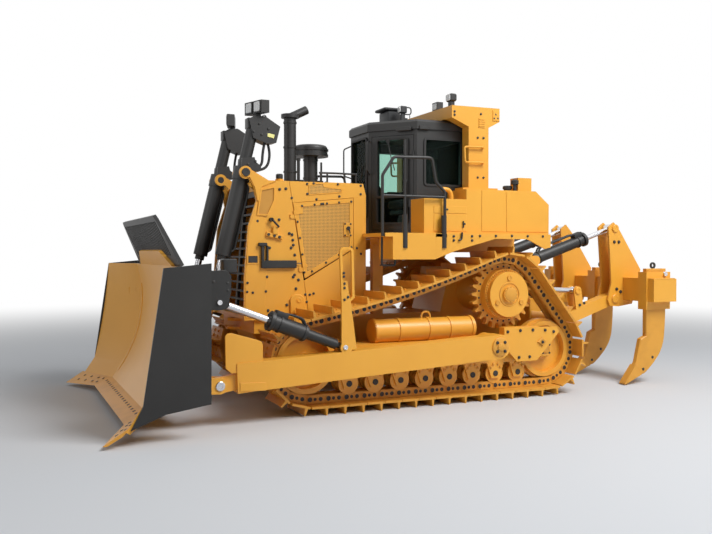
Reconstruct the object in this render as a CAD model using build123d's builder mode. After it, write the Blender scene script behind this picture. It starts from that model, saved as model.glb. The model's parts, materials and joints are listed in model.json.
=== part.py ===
from build123d import *
from math import atan2, cos, degrees, hypot, pi, sin, sqrt
import os

# A crawler bulldozer with a semi-U blade and a three-shank ripper, in millimetres.
# X points forward, Y to the machine's left, Z up; the ground is Z = 0 and the
# origin lies under the middle of the whole machine, blade tip to ripper beam.

# Undercarriage
TRACK_GAUGE = 2250
SHOE_WIDTH = 610
SHOE_COUNT = 43
SHOE_GAP = 6
SHOE_TOP = 48
SHOE_FACE = 75
GROUSER_HEIGHT = 84
GROUSER_BASE = 36
GROUSER_TIP = 16
GROUSER_PLACE = 70
RAIL_OUT = SHOE_TOP
RAIL_IN = 60
RAIL_WIDTH = 50
RAIL_SPREAD = 80
IDLER_FRONT_X = 1665
IDLER_REAR_X = -1809
IDLER_PITCH_RADIUS = 455
SPROCKET_X = -1160
SPROCKET_Z = 1375
SPROCKET_PITCH_RADIUS = 482.5
SPROCKET_TEETH = 25
SPROCKET_WIDTH = 90
TOP_RUN_SAG = 75
ROLLER_COUNT = 8
ROLLER_FIRST_X = 1120
ROLLER_PITCH = 352
ROLLER_WIDTH = 220
ROLLER_FLANGE = 22
AXLE_RADIUS = 42
TRACK_Y = TRACK_GAUGE / 2
WHEEL_Z = IDLER_PITCH_RADIUS + SHOE_FACE + GROUSER_HEIGHT
SEAT_GAP = 0.3

# Roller frames: box girders inside each track loop
GIRDER_FRONT_X = 1240
GIRDER_REAR_X = -1390
GIRDER_BOTTOM = 470
GIRDER_TOP = 800
GIRDER_HALF_WIDTH = 150
FORK_THICKNESS = 28
FORK_HEIGHT = 190
TRUNNION_X = -810
TRUNNION_Z = 730
TRUNNION_RADIUS = 85
TRUNNION_BOSS_RADIUS = 150

# Main frame and case
CASE_HALF_WIDTH = 420
GROUND_CLEARANCE = 600
FRAME_TOP = 1100
CASE_REAR_X = -1955
CASE_TOP = 1930
AXLE_HOUSING_RADIUS = 255
DRIVE_DRUM_RADIUS = 335
HUB_FACE_Y = TRACK_Y + 220

# Push arms and blade
ARM_INNER_Y = TRACK_Y + SHOE_WIDTH / 2 + 32
ARM_OUTER_Y = ARM_INNER_Y + 190
ARM_MIDDLE_Y = ARM_INNER_Y + 93
ARM_EYE_RADIUS = 155
BLADE_PIN_X = 2816
BLADE_PIN_Z = 469
BLADE_PIN_RADIUS = 45
BLADE_HALF_CENTRE = 1390
BLADE_HALF_WIDTH = 2155
WING_END_Y = BLADE_HALF_WIDTH - 55
WING_REACH = 315
BLADE_SKIN = 38
BLADE_TOP = 1773

# Cylinders: bore side and rod side
LIFT_YOKE_X = 2263
LIFT_YOKE_Y = 591
LIFT_YOKE_Z = 2902
LIFT_EYE_X = 2790
LIFT_EYE_Y = LIFT_YOKE_Y
LIFT_EYE_Z = 733
LIFT_BARREL_RADIUS = 95
LIFT_ROD_RADIUS = 45
TILT_BASE_X = 1331
TILT_BASE_Z = 824
TILT_EYE_X = 2803
TILT_EYE_Z = 1377
TILT_Y = ARM_MIDDLE_Y + 25
TILT_PIN_RADIUS = 26
RIPPER_PIVOT_X = -2081
RIPPER_PIVOT_Z = 747
RIPPER_PIN_X = -3530
RIPPER_PIN_Z = 1226
RIPPER_TILT_BASE_X = -2074
RIPPER_TILT_BASE_Z = 1811
RIPPER_TILT_EYE_X = -3523
RIPPER_TILT_EYE_Z = 2290
RIPPER_LIFT_BASE_X = -1600
RIPPER_LIFT_BASE_Z = 1430
RIPPER_LIFT_EYE_X = -2855
RIPPER_LIFT_EYE_Z = 1360
RIPPER_Y = 562


def at_y(y):
    """A side plane at width y: sketch x is machine X, sketch y is machine Z."""
    return Plane(origin=(0, y, 0), x_dir=(1, 0, 0), z_dir=(0, -1, 0))


def at_z(z):
    """A level plane at height z."""
    return Plane.XY.offset(z)


def side_plate(y_low, y_high, points, mode=Mode.ADD):
    """A plate with a straight-edged side outline between two widths."""
    with BuildSketch(at_y(y_high)) as outline:
        with BuildLine():
            Polyline(*points, close=True)
        make_face()
    extrude(outline.sketch, amount=y_high - y_low, mode=mode)


def level_plate(z_low, z_high, points, mode=Mode.ADD):
    """A plate with a straight-edged plan outline between two heights."""
    with BuildSketch(at_z(z_low)) as outline:
        with BuildLine():
            Polyline(*points, close=True)
        make_face()
    extrude(outline.sketch, amount=z_high - z_low, mode=mode)


def block(x_span, y_span, z_span, mode=Mode.ADD):
    """A rectangular block between two limits on each axis."""
    with BuildSketch(at_z(z_span[0])) as base:
        with Locations(((x_span[0] + x_span[1]) / 2, (y_span[0] + y_span[1]) / 2)):
            Rectangle(x_span[1] - x_span[0], y_span[1] - y_span[0])
    extrude(base.sketch, amount=z_span[1] - z_span[0], mode=mode)


def cross_pin(x, z, radius, y_low, y_high, mode=Mode.ADD):
    """A round bar or bore across the machine."""
    with BuildSketch(at_y(y_high)) as circle:
        with Locations((x, z)):
            Circle(radius)
    extrude(circle.sketch, amount=y_high - y_low, mode=mode)


def lug(x, z, radius, root_points, y_low, y_high, mode=Mode.ADD):
    """An ear plate: a round end about (x, z) joined to its root by tangent-like sides."""
    with BuildSketch(at_y(y_high)) as ear:
        with Locations((x, z)):
            Circle(radius)
        for root in root_points:
            reach = hypot(root[0] - x, root[1] - z)
            side_x, side_z = -(root[1] - z) / reach * radius, (root[0] - x) / reach * radius
            with BuildLine():
                Polyline(
                    (x + side_x, z + side_z),
                    (root[0] + side_x, root[1] + side_z),
                    (root[0] - side_x, root[1] - side_z),
                    (x - side_x, z - side_z),
                    close=True,
                )
            make_face()
    extrude(ear.sketch, amount=y_high - y_low, mode=mode)


def rod_line(start, end, radius, mode=Mode.ADD):
    """A round bar between two points."""
    axis = Plane(origin=start, z_dir=Vector(*end) - Vector(*start))
    with BuildSketch(axis) as disc:
        Circle(radius)
    extrude(disc.sketch, amount=(Vector(*end) - Vector(*start)).length, mode=mode)


def along(start, end, distance):
    """The point at a distance from start on the line to end."""
    start, end = Vector(*start), Vector(*end)
    return start + (end - start).normalized() * distance


def both_sides():
    """Repeat what the open part holds on the other side of the machine."""
    mirror(about=Plane.XZ)


# The pitch line runs round the front idler, the sprocket and the rear idler.
# Wheels in order of travel: centre x, centre z, pitch radius
WHEELS = [
    (IDLER_FRONT_X, WHEEL_Z, IDLER_PITCH_RADIUS),
    (SPROCKET_X, SPROCKET_Z, SPROCKET_PITCH_RADIUS),
    (IDLER_REAR_X, WHEEL_Z, IDLER_PITCH_RADIUS),
]


def run_normal(wheel, following):
    """Outward unit normal of the straight run from one wheel to the following one."""
    dx, dz = following[0] - wheel[0], following[1] - wheel[1]
    reach = hypot(dx, dz)
    lean = (wheel[2] - following[2]) / reach
    side = sqrt(1 - lean**2)
    return ((dx * lean + dz * side) / reach, (dz * lean - dx * side) / reach)


def rim_point(wheel, angle):
    """A point on a wheel's pitch circle at an angle in radians."""
    return (wheel[0] + wheel[2] * cos(angle), wheel[1] + wheel[2] * sin(angle))


def pitch_line():
    """The closed pitch line as a wire in sketch coordinates, sagging on its top run."""
    arcs = []
    for index, wheel in enumerate(WHEELS):
        arriving = run_normal(WHEELS[index - 1], wheel)
        leaving = run_normal(wheel, WHEELS[(index + 1) % len(WHEELS)])
        start = atan2(arriving[1], arriving[0])
        end = atan2(leaving[1], leaving[0])
        if end < start:
            end += 2 * pi
        arcs.append([rim_point(wheel, start), rim_point(wheel, (start + end) / 2), rim_point(wheel, end)])
    top_start, top_end = arcs[0][2], arcs[1][0]
    sagged = ((top_start[0] + top_end[0]) / 2, (top_start[1] + top_end[1]) / 2 - TOP_RUN_SAG)
    with BuildLine() as line:
        ThreePointArc(*arcs[0])
        ThreePointArc(top_start, sagged, top_end)
        ThreePointArc(*arcs[1])
        Line(arcs[1][2], arcs[2][0])
        ThreePointArc(*arcs[2])
        Line(arcs[2][2], arcs[0][0])
    return line.wire()


pitch_wire = pitch_line()
pins = [pitch_wire.position_at(index / SHOE_COUNT) for index in range(SHOE_COUNT)]
pin_area = sum(a.X * b.Y - b.X * a.Y for a, b in zip(pins, pins[1:] + pins[:1]))
if pin_area < 0:
    pins.reverse()
LINK_PITCH = pitch_wire.length / SHOE_COUNT
print(f"link pitch {LINK_PITCH:.1f}")
IDLER_TREAD = sqrt(IDLER_PITCH_RADIUS**2 - (LINK_PITCH / 2) ** 2) - RAIL_IN - SEAT_GAP
ROLLER_TREAD_Z = WHEEL_Z - IDLER_PITCH_RADIUS + RAIL_IN

# Track: two link rails with a shoe across them at each pitch
with BuildPart() as track_left:
    with BuildSketch(at_y(TRACK_Y + SHOE_WIDTH / 2)):
        for pin, following in zip(pins, pins[1:] + pins[:1]):
            middle = (pin + following) / 2
            step = following - pin
            half = step.length / 2 - SHOE_GAP / 2
            with Locations(Location((middle.X, middle.Y, 0), degrees(atan2(step.Y, step.X)) + 180)):
                Polygon(
                    (-half, SHOE_TOP),
                    (half, SHOE_TOP),
                    (half, SHOE_FACE),
                    (GROUSER_PLACE + GROUSER_BASE / 2, SHOE_FACE),
                    (GROUSER_PLACE + GROUSER_TIP / 2, SHOE_FACE + GROUSER_HEIGHT),
                    (GROUSER_PLACE - GROUSER_TIP / 2, SHOE_FACE + GROUSER_HEIGHT),
                    (GROUSER_PLACE - GROUSER_BASE / 2, SHOE_FACE),
                    (-half, SHOE_FACE),
                    align=None,
                )
    extrude(amount=SHOE_WIDTH)
    for rail_y in (TRACK_Y - RAIL_SPREAD, TRACK_Y + RAIL_SPREAD):
        with BuildSketch(at_y(rail_y + RAIL_WIDTH / 2)):
            with BuildLine():
                Polyline(*[(pin.X, pin.Y) for pin in pins], close=True)
            chain = make_face()
            offset(chain, amount=RAIL_OUT, kind=Kind.INTERSECTION, mode=Mode.REPLACE)
            offset(chain, amount=-RAIL_IN, kind=Kind.INTERSECTION, mode=Mode.SUBTRACT)
        extrude(amount=RAIL_WIDTH)

with BuildPart() as track_right:
    mirror(track_left.part, about=Plane.XZ)

# Idlers: two treads and a guiding flange that runs between the rails
IDLER_FLANGE_HEIGHT = 32
IDLER_FLANGE_WIDTH = 80
IDLER_TREAD_WIDTH = 240
IDLER_WEB_WIDTH = 60
IDLER_RIM = 60
IDLER_HUB_RADIUS = 120
with BuildPart() as idlers:
    for idler_x in (IDLER_FRONT_X, IDLER_REAR_X):
        # Discs of one idler: radius, width
        for radius, width in (
            (IDLER_TREAD, IDLER_TREAD_WIDTH),
            (IDLER_TREAD + IDLER_FLANGE_HEIGHT, IDLER_FLANGE_WIDTH),
        ):
            cross_pin(idler_x, WHEEL_Z, radius, TRACK_Y - width / 2, TRACK_Y + width / 2)
        for low, high in (
            (TRACK_Y - IDLER_TREAD_WIDTH / 2, TRACK_Y - IDLER_WEB_WIDTH / 2),
            (TRACK_Y + IDLER_WEB_WIDTH / 2, TRACK_Y + IDLER_TREAD_WIDTH / 2),
        ):
            cross_pin(idler_x, WHEEL_Z, IDLER_TREAD - IDLER_RIM, low, high, mode=Mode.SUBTRACT)
        cross_pin(
            idler_x, WHEEL_Z, IDLER_HUB_RADIUS, TRACK_Y - IDLER_TREAD_WIDTH / 2, TRACK_Y + IDLER_TREAD_WIDTH / 2
        )
        cross_pin(
            idler_x,
            WHEEL_Z,
            AXLE_RADIUS,
            TRACK_Y - GIRDER_HALF_WIDTH - 10,
            TRACK_Y + GIRDER_HALF_WIDTH + 10,
        )
    both_sides()

# Track rollers: double-flanged, on fixed shafts under the girders
ROLLER_AXLE_Z = 330
ROLLER_TREAD = ROLLER_AXLE_Z - ROLLER_TREAD_Z - SEAT_GAP
ROLLER_CORE = 62
with BuildPart() as track_rollers:
    for index in range(ROLLER_COUNT):
        roller_x = ROLLER_FIRST_X - index * ROLLER_PITCH
        cross_pin(roller_x, ROLLER_AXLE_Z, ROLLER_CORE, TRACK_Y - ROLLER_WIDTH / 2, TRACK_Y + ROLLER_WIDTH / 2)
        for side in (-1, 1):
            tread_y = TRACK_Y + side * RAIL_SPREAD
            cross_pin(
                roller_x, ROLLER_AXLE_Z, ROLLER_TREAD, tread_y - RAIL_WIDTH / 2, tread_y + RAIL_WIDTH / 2
            )
            flange_low = TRACK_Y + side * (RAIL_SPREAD + RAIL_WIDTH / 2 + 3)
            flange_high = flange_low + side * 11
            cross_pin(
                roller_x,
                ROLLER_AXLE_Z,
                ROLLER_TREAD + ROLLER_FLANGE,
                min(flange_low, flange_high),
                max(flange_low, flange_high),
            )
        cross_pin(
            roller_x,
            ROLLER_AXLE_Z,
            AXLE_RADIUS,
            TRACK_Y - GIRDER_HALF_WIDTH,
            TRACK_Y + GIRDER_HALF_WIDTH,
        )
    both_sides()

# Sprockets: a toothed rim bolted round the drive drum
TOOTH_ROOT_RADIUS = 400
TOOTH_TIP_RADIUS = 470
TOOTH_ROOT_WIDTH = 66
TOOTH_TIP_WIDTH = 26
with BuildPart() as sprockets:
    with BuildSketch(at_y(TRACK_Y + SPROCKET_WIDTH / 2)):
        with Locations((SPROCKET_X, SPROCKET_Z)):
            Circle(TOOTH_ROOT_RADIUS)
            with PolarLocations(0, SPROCKET_TEETH):
                Polygon(
                    (TOOTH_ROOT_RADIUS - 8, -TOOTH_ROOT_WIDTH / 2),
                    (TOOTH_TIP_RADIUS, -TOOTH_TIP_WIDTH / 2),
                    (TOOTH_TIP_RADIUS, TOOTH_TIP_WIDTH / 2),
                    (TOOTH_ROOT_RADIUS - 8, TOOTH_ROOT_WIDTH / 2),
                    align=None,
                )
            Circle(DRIVE_DRUM_RADIUS + SEAT_GAP, mode=Mode.SUBTRACT)
    extrude(amount=SPROCKET_WIDTH)
    both_sides()

# Final drives: axle housing, drum and hub cover as one stepped casting a side
DRIVE_COVER_RADIUS = 300
DRIVE_CAP_RADIUS = 105
with BuildPart() as final_drives:
    # Steps of one drive: radius, inner width, outer width
    for radius, inner_y, outer_y in (
        (AXLE_HOUSING_RADIUS, CASE_HALF_WIDTH, TRACK_Y - 120),
        (DRIVE_DRUM_RADIUS, TRACK_Y - 120, TRACK_Y + 150),
        (DRIVE_COVER_RADIUS, TRACK_Y + 150, HUB_FACE_Y),
        (DRIVE_CAP_RADIUS, HUB_FACE_Y, HUB_FACE_Y + 35),
    ):
        cross_pin(SPROCKET_X, SPROCKET_Z, radius, inner_y, outer_y)
    both_sides()

# Roller frames: girder, wheel forks, roller brackets and the push arm trunnions
INNER_FACE_Y = TRACK_Y - GIRDER_HALF_WIDTH
OUTER_FACE_Y = TRACK_Y + GIRDER_HALF_WIDTH
with BuildPart() as roller_frames:
    block((GIRDER_REAR_X, GIRDER_FRONT_X), (INNER_FACE_Y, OUTER_FACE_Y), (GIRDER_BOTTOM, GIRDER_TOP))
    for low, high in (
        (INNER_FACE_Y, INNER_FACE_Y + FORK_THICKNESS),
        (OUTER_FACE_Y - FORK_THICKNESS, OUTER_FACE_Y),
    ):
        lug(IDLER_FRONT_X, WHEEL_Z, FORK_HEIGHT / 2, [(GIRDER_FRONT_X - 60, WHEEL_Z)], low, high)
        lug(IDLER_REAR_X, WHEEL_Z, FORK_HEIGHT / 2, [(GIRDER_REAR_X + 60, WHEEL_Z)], low, high)
        for wheel_x in (IDLER_FRONT_X, IDLER_REAR_X):
            cross_pin(wheel_x, WHEEL_Z, AXLE_RADIUS + SEAT_GAP, low, high, mode=Mode.SUBTRACT)
        for index in range(ROLLER_COUNT):
            roller_x = ROLLER_FIRST_X - index * ROLLER_PITCH
            side_plate(
                low,
                high,
                [
                    (roller_x - 130, GIRDER_BOTTOM),
                    (roller_x - 62, ROLLER_AXLE_Z - 62),
                    (roller_x + 62, ROLLER_AXLE_Z - 62),
                    (roller_x + 130, GIRDER_BOTTOM),
                ],
            )
            cross_pin(roller_x, ROLLER_AXLE_Z, AXLE_RADIUS + SEAT_GAP, low, high, mode=Mode.SUBTRACT)
    cross_pin(TRUNNION_X, TRUNNION_Z, TRUNNION_BOSS_RADIUS, OUTER_FACE_Y, ARM_INNER_Y - 8)
    cross_pin(TRUNNION_X, TRUNNION_Z, TRUNNION_RADIUS, ARM_INNER_Y - 8, ARM_OUTER_Y)
    # Recoil spring tube on the girder
    rod_line((-698, TRACK_Y, 942), (754, TRACK_Y, 942), 148)
    # Rear guard over the rear idler
    side_plate(
        OUTER_FACE_Y,
        OUTER_FACE_Y + 90,
        [(-1048, 943), (-1620, 943), (-1300, GIRDER_TOP - 60), (-1048, GIRDER_TOP - 60)],
    )
    side_plate(
        OUTER_FACE_Y + 90,
        OUTER_FACE_Y + 120,
        [(-1048, 943), (-1896, 925), (-1931, 852), (-1569, 486), (-1250, 486), (-1048, 700)],
    )
    both_sides()

# Main frame: hull rails and rear case in one, cross shaft, equalizer bar, lower ripper mounts
EQUALIZER_X = (1130, 1290)
EQUALIZER_Z = (700, 850)
MOUNT_PLATE = 30
LOWER_LUG_Y = ((440, 470), (660, 690))
LINK_PIN_RADIUS = 48
TOW_X = 2245
TOW_PLATE = 35
TOW_PLATE_Z = (935, 1045)
TOW_BORE_RADIUS = 26
BASE_PIN_RADIUS = 36
with BuildPart() as main_frame:
    side_plate(
        -CASE_HALF_WIDTH,
        CASE_HALF_WIDTH,
        [
            (2150, FRAME_TOP),
            (2150, 980),
            (1900, GROUND_CLEARANCE + 60),
            (1700, GROUND_CLEARANCE),
            (-1500, GROUND_CLEARANCE),
            (-1800, GROUND_CLEARANCE + 60),
            (CASE_REAR_X, GROUND_CLEARANCE + 160),
            (CASE_REAR_X, CASE_TOP),
            (-1700, CASE_TOP),
            (-1560, 1720),
            (-800, 1720),
            (-640, FRAME_TOP),
        ],
    )
    cross_pin(TRUNNION_X, TRUNNION_Z, 110, -INNER_FACE_Y, INNER_FACE_Y)
    block(EQUALIZER_X, (-INNER_FACE_Y, INNER_FACE_Y), EQUALIZER_Z)
    block((1900, 2150), (-715, 715), (930, FRAME_TOP))
    block((CASE_REAR_X - MOUNT_PLATE, CASE_REAR_X), (-700, 700), (640, 1200))
    for side in (-1, 1):
        for low, high in LOWER_LUG_Y:
            low, high = sorted((side * low, side * high))
            lug(RIPPER_PIVOT_X, RIPPER_PIVOT_Z, 85, [(CASE_REAR_X, RIPPER_PIVOT_Z)], low, high)
        low, high = sorted((side * LOWER_LUG_Y[0][0], side * LOWER_LUG_Y[1][1]))
        cross_pin(RIPPER_PIVOT_X, RIPPER_PIVOT_Z, LINK_PIN_RADIUS, low, high)
    # Front tow clevis: two plates with a bore for a stranger's drawbar pin
    for low in TOW_PLATE_Z:
        level_plate(
            low,
            low + TOW_PLATE,
            [(2140, -130), (2240, -110), (TOW_X + 60, -50), (TOW_X + 60, 50), (2240, 110), (2140, 130)],
        )
    rod_line(
        (TOW_X, 0, TOW_PLATE_Z[0] - 10),
        (TOW_X, 0, TOW_PLATE_Z[1] + TOW_PLATE + 10),
        TOW_BORE_RADIUS,
        mode=Mode.SUBTRACT,
    )

# Upper ripper mounts: a plate bolted to the case's back, with the ripper tilt cylinders' ears and pins
with BuildPart() as ripper_mounts:
    block((CASE_REAR_X - MOUNT_PLATE, CASE_REAR_X - SEAT_GAP), (0, 700), (1680, CASE_TOP))
    for low, high in LOWER_LUG_Y:
        lug(RIPPER_TILT_BASE_X, RIPPER_TILT_BASE_Z, 70, [(CASE_REAR_X - 10, RIPPER_TILT_BASE_Z)], low, high)
    cross_pin(RIPPER_TILT_BASE_X, RIPPER_TILT_BASE_Z, BASE_PIN_RADIUS, LOWER_LUG_Y[0][0], LOWER_LUG_Y[1][1])
    both_sides()

# Forks on the case's sides that hold the ripper lift cylinders' bases
FORK_Y = (CASE_HALF_WIDTH + SEAT_GAP, 680)
with BuildPart() as ripper_forks:
    block((-1500, -1430), FORK_Y, (1340, 1520))
    for low, high in ((FORK_Y[0], 485), (640, FORK_Y[1])):
        lug(RIPPER_LIFT_BASE_X, RIPPER_LIFT_BASE_Z, 65, [(-1500, RIPPER_LIFT_BASE_Z)], low, high)
    cross_pin(RIPPER_LIFT_BASE_X, RIPPER_LIFT_BASE_Z, BASE_PIN_RADIUS, *FORK_Y)
    both_sides()

# Engine: one plain block where it stands under the hood
ENGINE_X = (700, 1440)
with BuildPart() as engine_block:
    block(ENGINE_X, (-330, 330), (FRAME_TOP, 2300))

# Engine door hinges: the axis runs up the door's front edge, just outside its face
HOOD_OUTER_Y = 758
HOOD_TOP = 2815
DOOR_LOW_FRONT = (1500, 1602)
DOOR_TOP_FRONT = (1662, 2543)
DOOR_AXIS_FOOT = (1505, 770, 1602)
DOOR_AXIS_WAY = Vector(
    DOOR_TOP_FRONT[0] - DOOR_LOW_FRONT[0], 0, DOOR_TOP_FRONT[1] - DOOR_LOW_FRONT[1]
).normalized()
DOOR_KNUCKLES = (90, 760)
KNUCKLE_LENGTH = 50
KNUCKLE_RADIUS = 9
KNUCKLE_PIN_RADIUS = 5
print("engine door axis", DOOR_AXIS_FOOT, DOOR_AXIS_WAY)


def door_axis(distance):
    """The point of the engine door's hinge axis at a distance from its foot."""
    return Vector(*DOOR_AXIS_FOOT) + DOOR_AXIS_WAY * distance


def strap(start, end, reach, seat_y):
    """A hinge strap from the axis to a seat face, reaching forward (or back when negative)."""
    low, high = door_axis(start), door_axis(end)
    side_plate(
        seat_y,
        DOOR_AXIS_FOOT[1] + 4,
        [(low.X, low.Z), (high.X, high.Z), (high.X + reach, high.Z), (low.X + reach, low.Z)],
    )


# Radiator guard: two side plates with horns that carry the lift cylinder yokes
GUARD_OUTER_Y = 760
GUARD_PLATE = 40
HORN_INNER_Y = (422, 460)
YOKE_PIN_RADIUS = 42
JOINT_TOP = (1711, HOOD_TOP)
JOINT_BOTTOM = (1520, 1597)
with BuildPart() as radiator_guard:
    side_plate(
        GUARD_OUTER_Y - GUARD_PLATE,
        GUARD_OUTER_Y,
        [
            (2287, FRAME_TOP),
            (2287, 1596),
            (2237, 2244),
            (2132, 2559),
            (2165, 2720),
            (2225, 2830),
            (2325, 2850),
            (2325, 2940),
            (2220, 2950),
            (1975, HOOD_TOP),
            JOINT_TOP,
            JOINT_BOTTOM,
            (1450, FRAME_TOP),
        ],
    )
    side_plate(
        HORN_INNER_Y[0],
        HORN_INNER_Y[1],
        [(1900, 2700), (2060, 2700), (2200, 2830), (2325, 2850), (2325, 2940), (2220, 2950), (1975, 2815)],
    )
    for low, high in (HORN_INNER_Y, (GUARD_OUTER_Y - GUARD_PLATE, GUARD_OUTER_Y)):
        cross_pin(LIFT_YOKE_X, LIFT_YOKE_Z, 78, low, high)
        cross_pin(LIFT_YOKE_X, LIFT_YOKE_Z, YOKE_PIN_RADIUS + SEAT_GAP, low, high, mode=Mode.SUBTRACT)
    side_plate(
        0,
        GUARD_OUTER_Y - GUARD_PLATE,
        [(1705, HOOD_TOP), (2060, HOOD_TOP), (2060, 2700), (2020, 2700), (2020, 2780), (1700, 2780)],
    )
    # Hinge knuckles and pins for the engine doors
    for start in DOOR_KNUCKLES:
        rod_line(door_axis(start), door_axis(start + KNUCKLE_LENGTH), KNUCKLE_RADIUS)
        rod_line(door_axis(start), door_axis(start + 2 * KNUCKLE_LENGTH), KNUCKLE_PIN_RADIUS)
        strap(start, start + KNUCKLE_LENGTH, 60, GUARD_OUTER_Y)
    block((1450, 2250), (0, GUARD_OUTER_Y - GUARD_PLATE), (FRAME_TOP, FRAME_TOP + 50))
    both_sides()

# Radiator grille: a leaning frame of bars between the guard plates
GRILLE_FOOT = (2190, 1154)
GRILLE_HEAD = (2062, 2695)
GRILLE_DEPTH = 40
GRILLE_BORDER = 70
GRILLE_BARS = 12
GRILLE_BAR_WIDTH = 26
grille_rise = hypot(GRILLE_HEAD[0] - GRILLE_FOOT[0], GRILLE_HEAD[1] - GRILLE_FOOT[1])
grille_width = 2 * (GUARD_OUTER_Y - GUARD_PLATE) - 2 * SEAT_GAP
grille_plane = Plane(
    origin=(GRILLE_FOOT[0], 0, GRILLE_FOOT[1]),
    x_dir=(0, 1, 0),
    z_dir=(GRILLE_HEAD[1] - GRILLE_FOOT[1], 0, GRILLE_FOOT[0] - GRILLE_HEAD[0]),
)
with BuildPart() as radiator_grille:
    with BuildSketch(grille_plane):
        with Locations((0, grille_rise / 2)):
            Rectangle(grille_width, grille_rise)
            Rectangle(grille_width - 2 * GRILLE_BORDER, grille_rise - 2 * GRILLE_BORDER, mode=Mode.SUBTRACT)
            with GridLocations(0, (grille_rise - 2 * GRILLE_BORDER) / (GRILLE_BARS + 1), 1, GRILLE_BARS):
                Rectangle(grille_width - GRILLE_BORDER, GRILLE_BAR_WIDTH)
            Rectangle(GRILLE_BORDER, grille_rise - GRILLE_BORDER)
    extrude(amount=-GRILLE_DEPTH)

# Engine enclosure: hood, rear side strips and lower side panels
HOOD_SKIN = 25
SPLIT_FRONT = (1662, 2548)
SPLIT_REAR = (656, 2651)
HOOD_FRONT = (1704, HOOD_TOP)
HOOD_REAR = (700, HOOD_TOP)
DOOR_REAR_X = 838
ENCLOSURE_REAR_X = 660
with BuildPart() as engine_enclosure:
    side_plate(-HOOD_OUTER_Y, HOOD_OUTER_Y, [HOOD_FRONT, HOOD_REAR, SPLIT_REAR, SPLIT_FRONT])
    side_plate(
        -HOOD_OUTER_Y + HOOD_SKIN,
        HOOD_OUTER_Y - HOOD_SKIN,
        [
            (1720, HOOD_TOP - HOOD_SKIN),
            (HOOD_REAR[0] + HOOD_SKIN, HOOD_TOP - HOOD_SKIN),
            (HOOD_REAR[0], 2500),
            (1720, 2500),
        ],
        mode=Mode.SUBTRACT,
    )
    for low, high in ((HOOD_OUTER_Y - HOOD_SKIN, HOOD_OUTER_Y), (-HOOD_OUTER_Y, -HOOD_OUTER_Y + HOOD_SKIN)):
        side_plate(
            low,
            high,
            [
                (DOOR_REAR_X - 6, 2640),
                (DOOR_REAR_X - 6, 1962),
                (ENCLOSURE_REAR_X, 2066),
                (ENCLOSURE_REAR_X, 2655),
            ],
        )
        side_plate(
            low,
            high,
            [
                (1440, FRAME_TOP + SEAT_GAP),
                (1510, 1575),
                (ENCLOSURE_REAR_X, 2066),
                (ENCLOSURE_REAR_X, FRAME_TOP + SEAT_GAP),
            ],
        )
    block(
        (ENCLOSURE_REAR_X, ENCLOSURE_REAR_X + 25),
        (-HOOD_OUTER_Y, HOOD_OUTER_Y),
        (FRAME_TOP + SEAT_GAP, 2655),
    )

# Engine side doors: framed screens hinged at the front
DOOR_LOW_REAR = (DOOR_REAR_X, 1975)
DOOR_TOP_REAR = (DOOR_REAR_X, 2627)
DOOR_THICKNESS = 22
with BuildPart() as engine_door_left:
    side_plate(
        HOOD_OUTER_Y - DOOR_THICKNESS,
        HOOD_OUTER_Y,
        [DOOR_TOP_FRONT, DOOR_LOW_FRONT, DOOR_LOW_REAR, DOOR_TOP_REAR],
    )
    for start in DOOR_KNUCKLES:
        near, far = start + KNUCKLE_LENGTH + 2, start + 2 * KNUCKLE_LENGTH
        strap(near, far, -60, HOOD_OUTER_Y)
        rod_line(door_axis(near), door_axis(far), KNUCKLE_RADIUS)
        rod_line(door_axis(near - 4), door_axis(far + 4), KNUCKLE_PIN_RADIUS + SEAT_GAP, mode=Mode.SUBTRACT)

with BuildPart() as engine_door_right:
    mirror(engine_door_left.part, about=Plane.XZ)

# Exhaust stack with its slanted outlet
EXHAUST = (1517, 250)
EXHAUST_RADIUS = 80
EXHAUST_TOP = 3728
with BuildPart() as exhaust_stack:
    rod_line((*EXHAUST, HOOD_TOP + SEAT_GAP), (*EXHAUST, EXHAUST_TOP), EXHAUST_RADIUS)
    rod_line((*EXHAUST, EXHAUST_TOP - 48), (*EXHAUST, EXHAUST_TOP), EXHAUST_RADIUS + 36)
    rod_line((*EXHAUST, EXHAUST_TOP - 40), (EXHAUST[0] - 230, EXHAUST[1], EXHAUST_TOP + 75), 56)
    rod_line(
        (*EXHAUST, EXHAUST_TOP - 30),
        (EXHAUST[0] - 250, EXHAUST[1], EXHAUST_TOP + 84),
        46,
        mode=Mode.SUBTRACT,
    )
    rod_line((*EXHAUST, HOOD_TOP + SEAT_GAP), (*EXHAUST, 2850), EXHAUST_RADIUS + 25)

# Air precleaner: a bowl on its intake pipe
PRECLEANER = (1060, -200)
BOWL_RADIUS = 245
with BuildPart() as precleaner:
    rod_line((*PRECLEANER, HOOD_TOP + SEAT_GAP), (*PRECLEANER, 3260), 97)
    rod_line((*PRECLEANER, 3245), (*PRECLEANER, 3400), BOWL_RADIUS - 10)
    rod_line((*PRECLEANER, 3245), (*PRECLEANER, 3275), BOWL_RADIUS)
    rod_line((*PRECLEANER, HOOD_TOP + SEAT_GAP), (*PRECLEANER, 2850), 125)
    fillet(precleaner.edges().filter_by(GeomType.CIRCLE).group_by(Axis.Z)[-1], 50)

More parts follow.
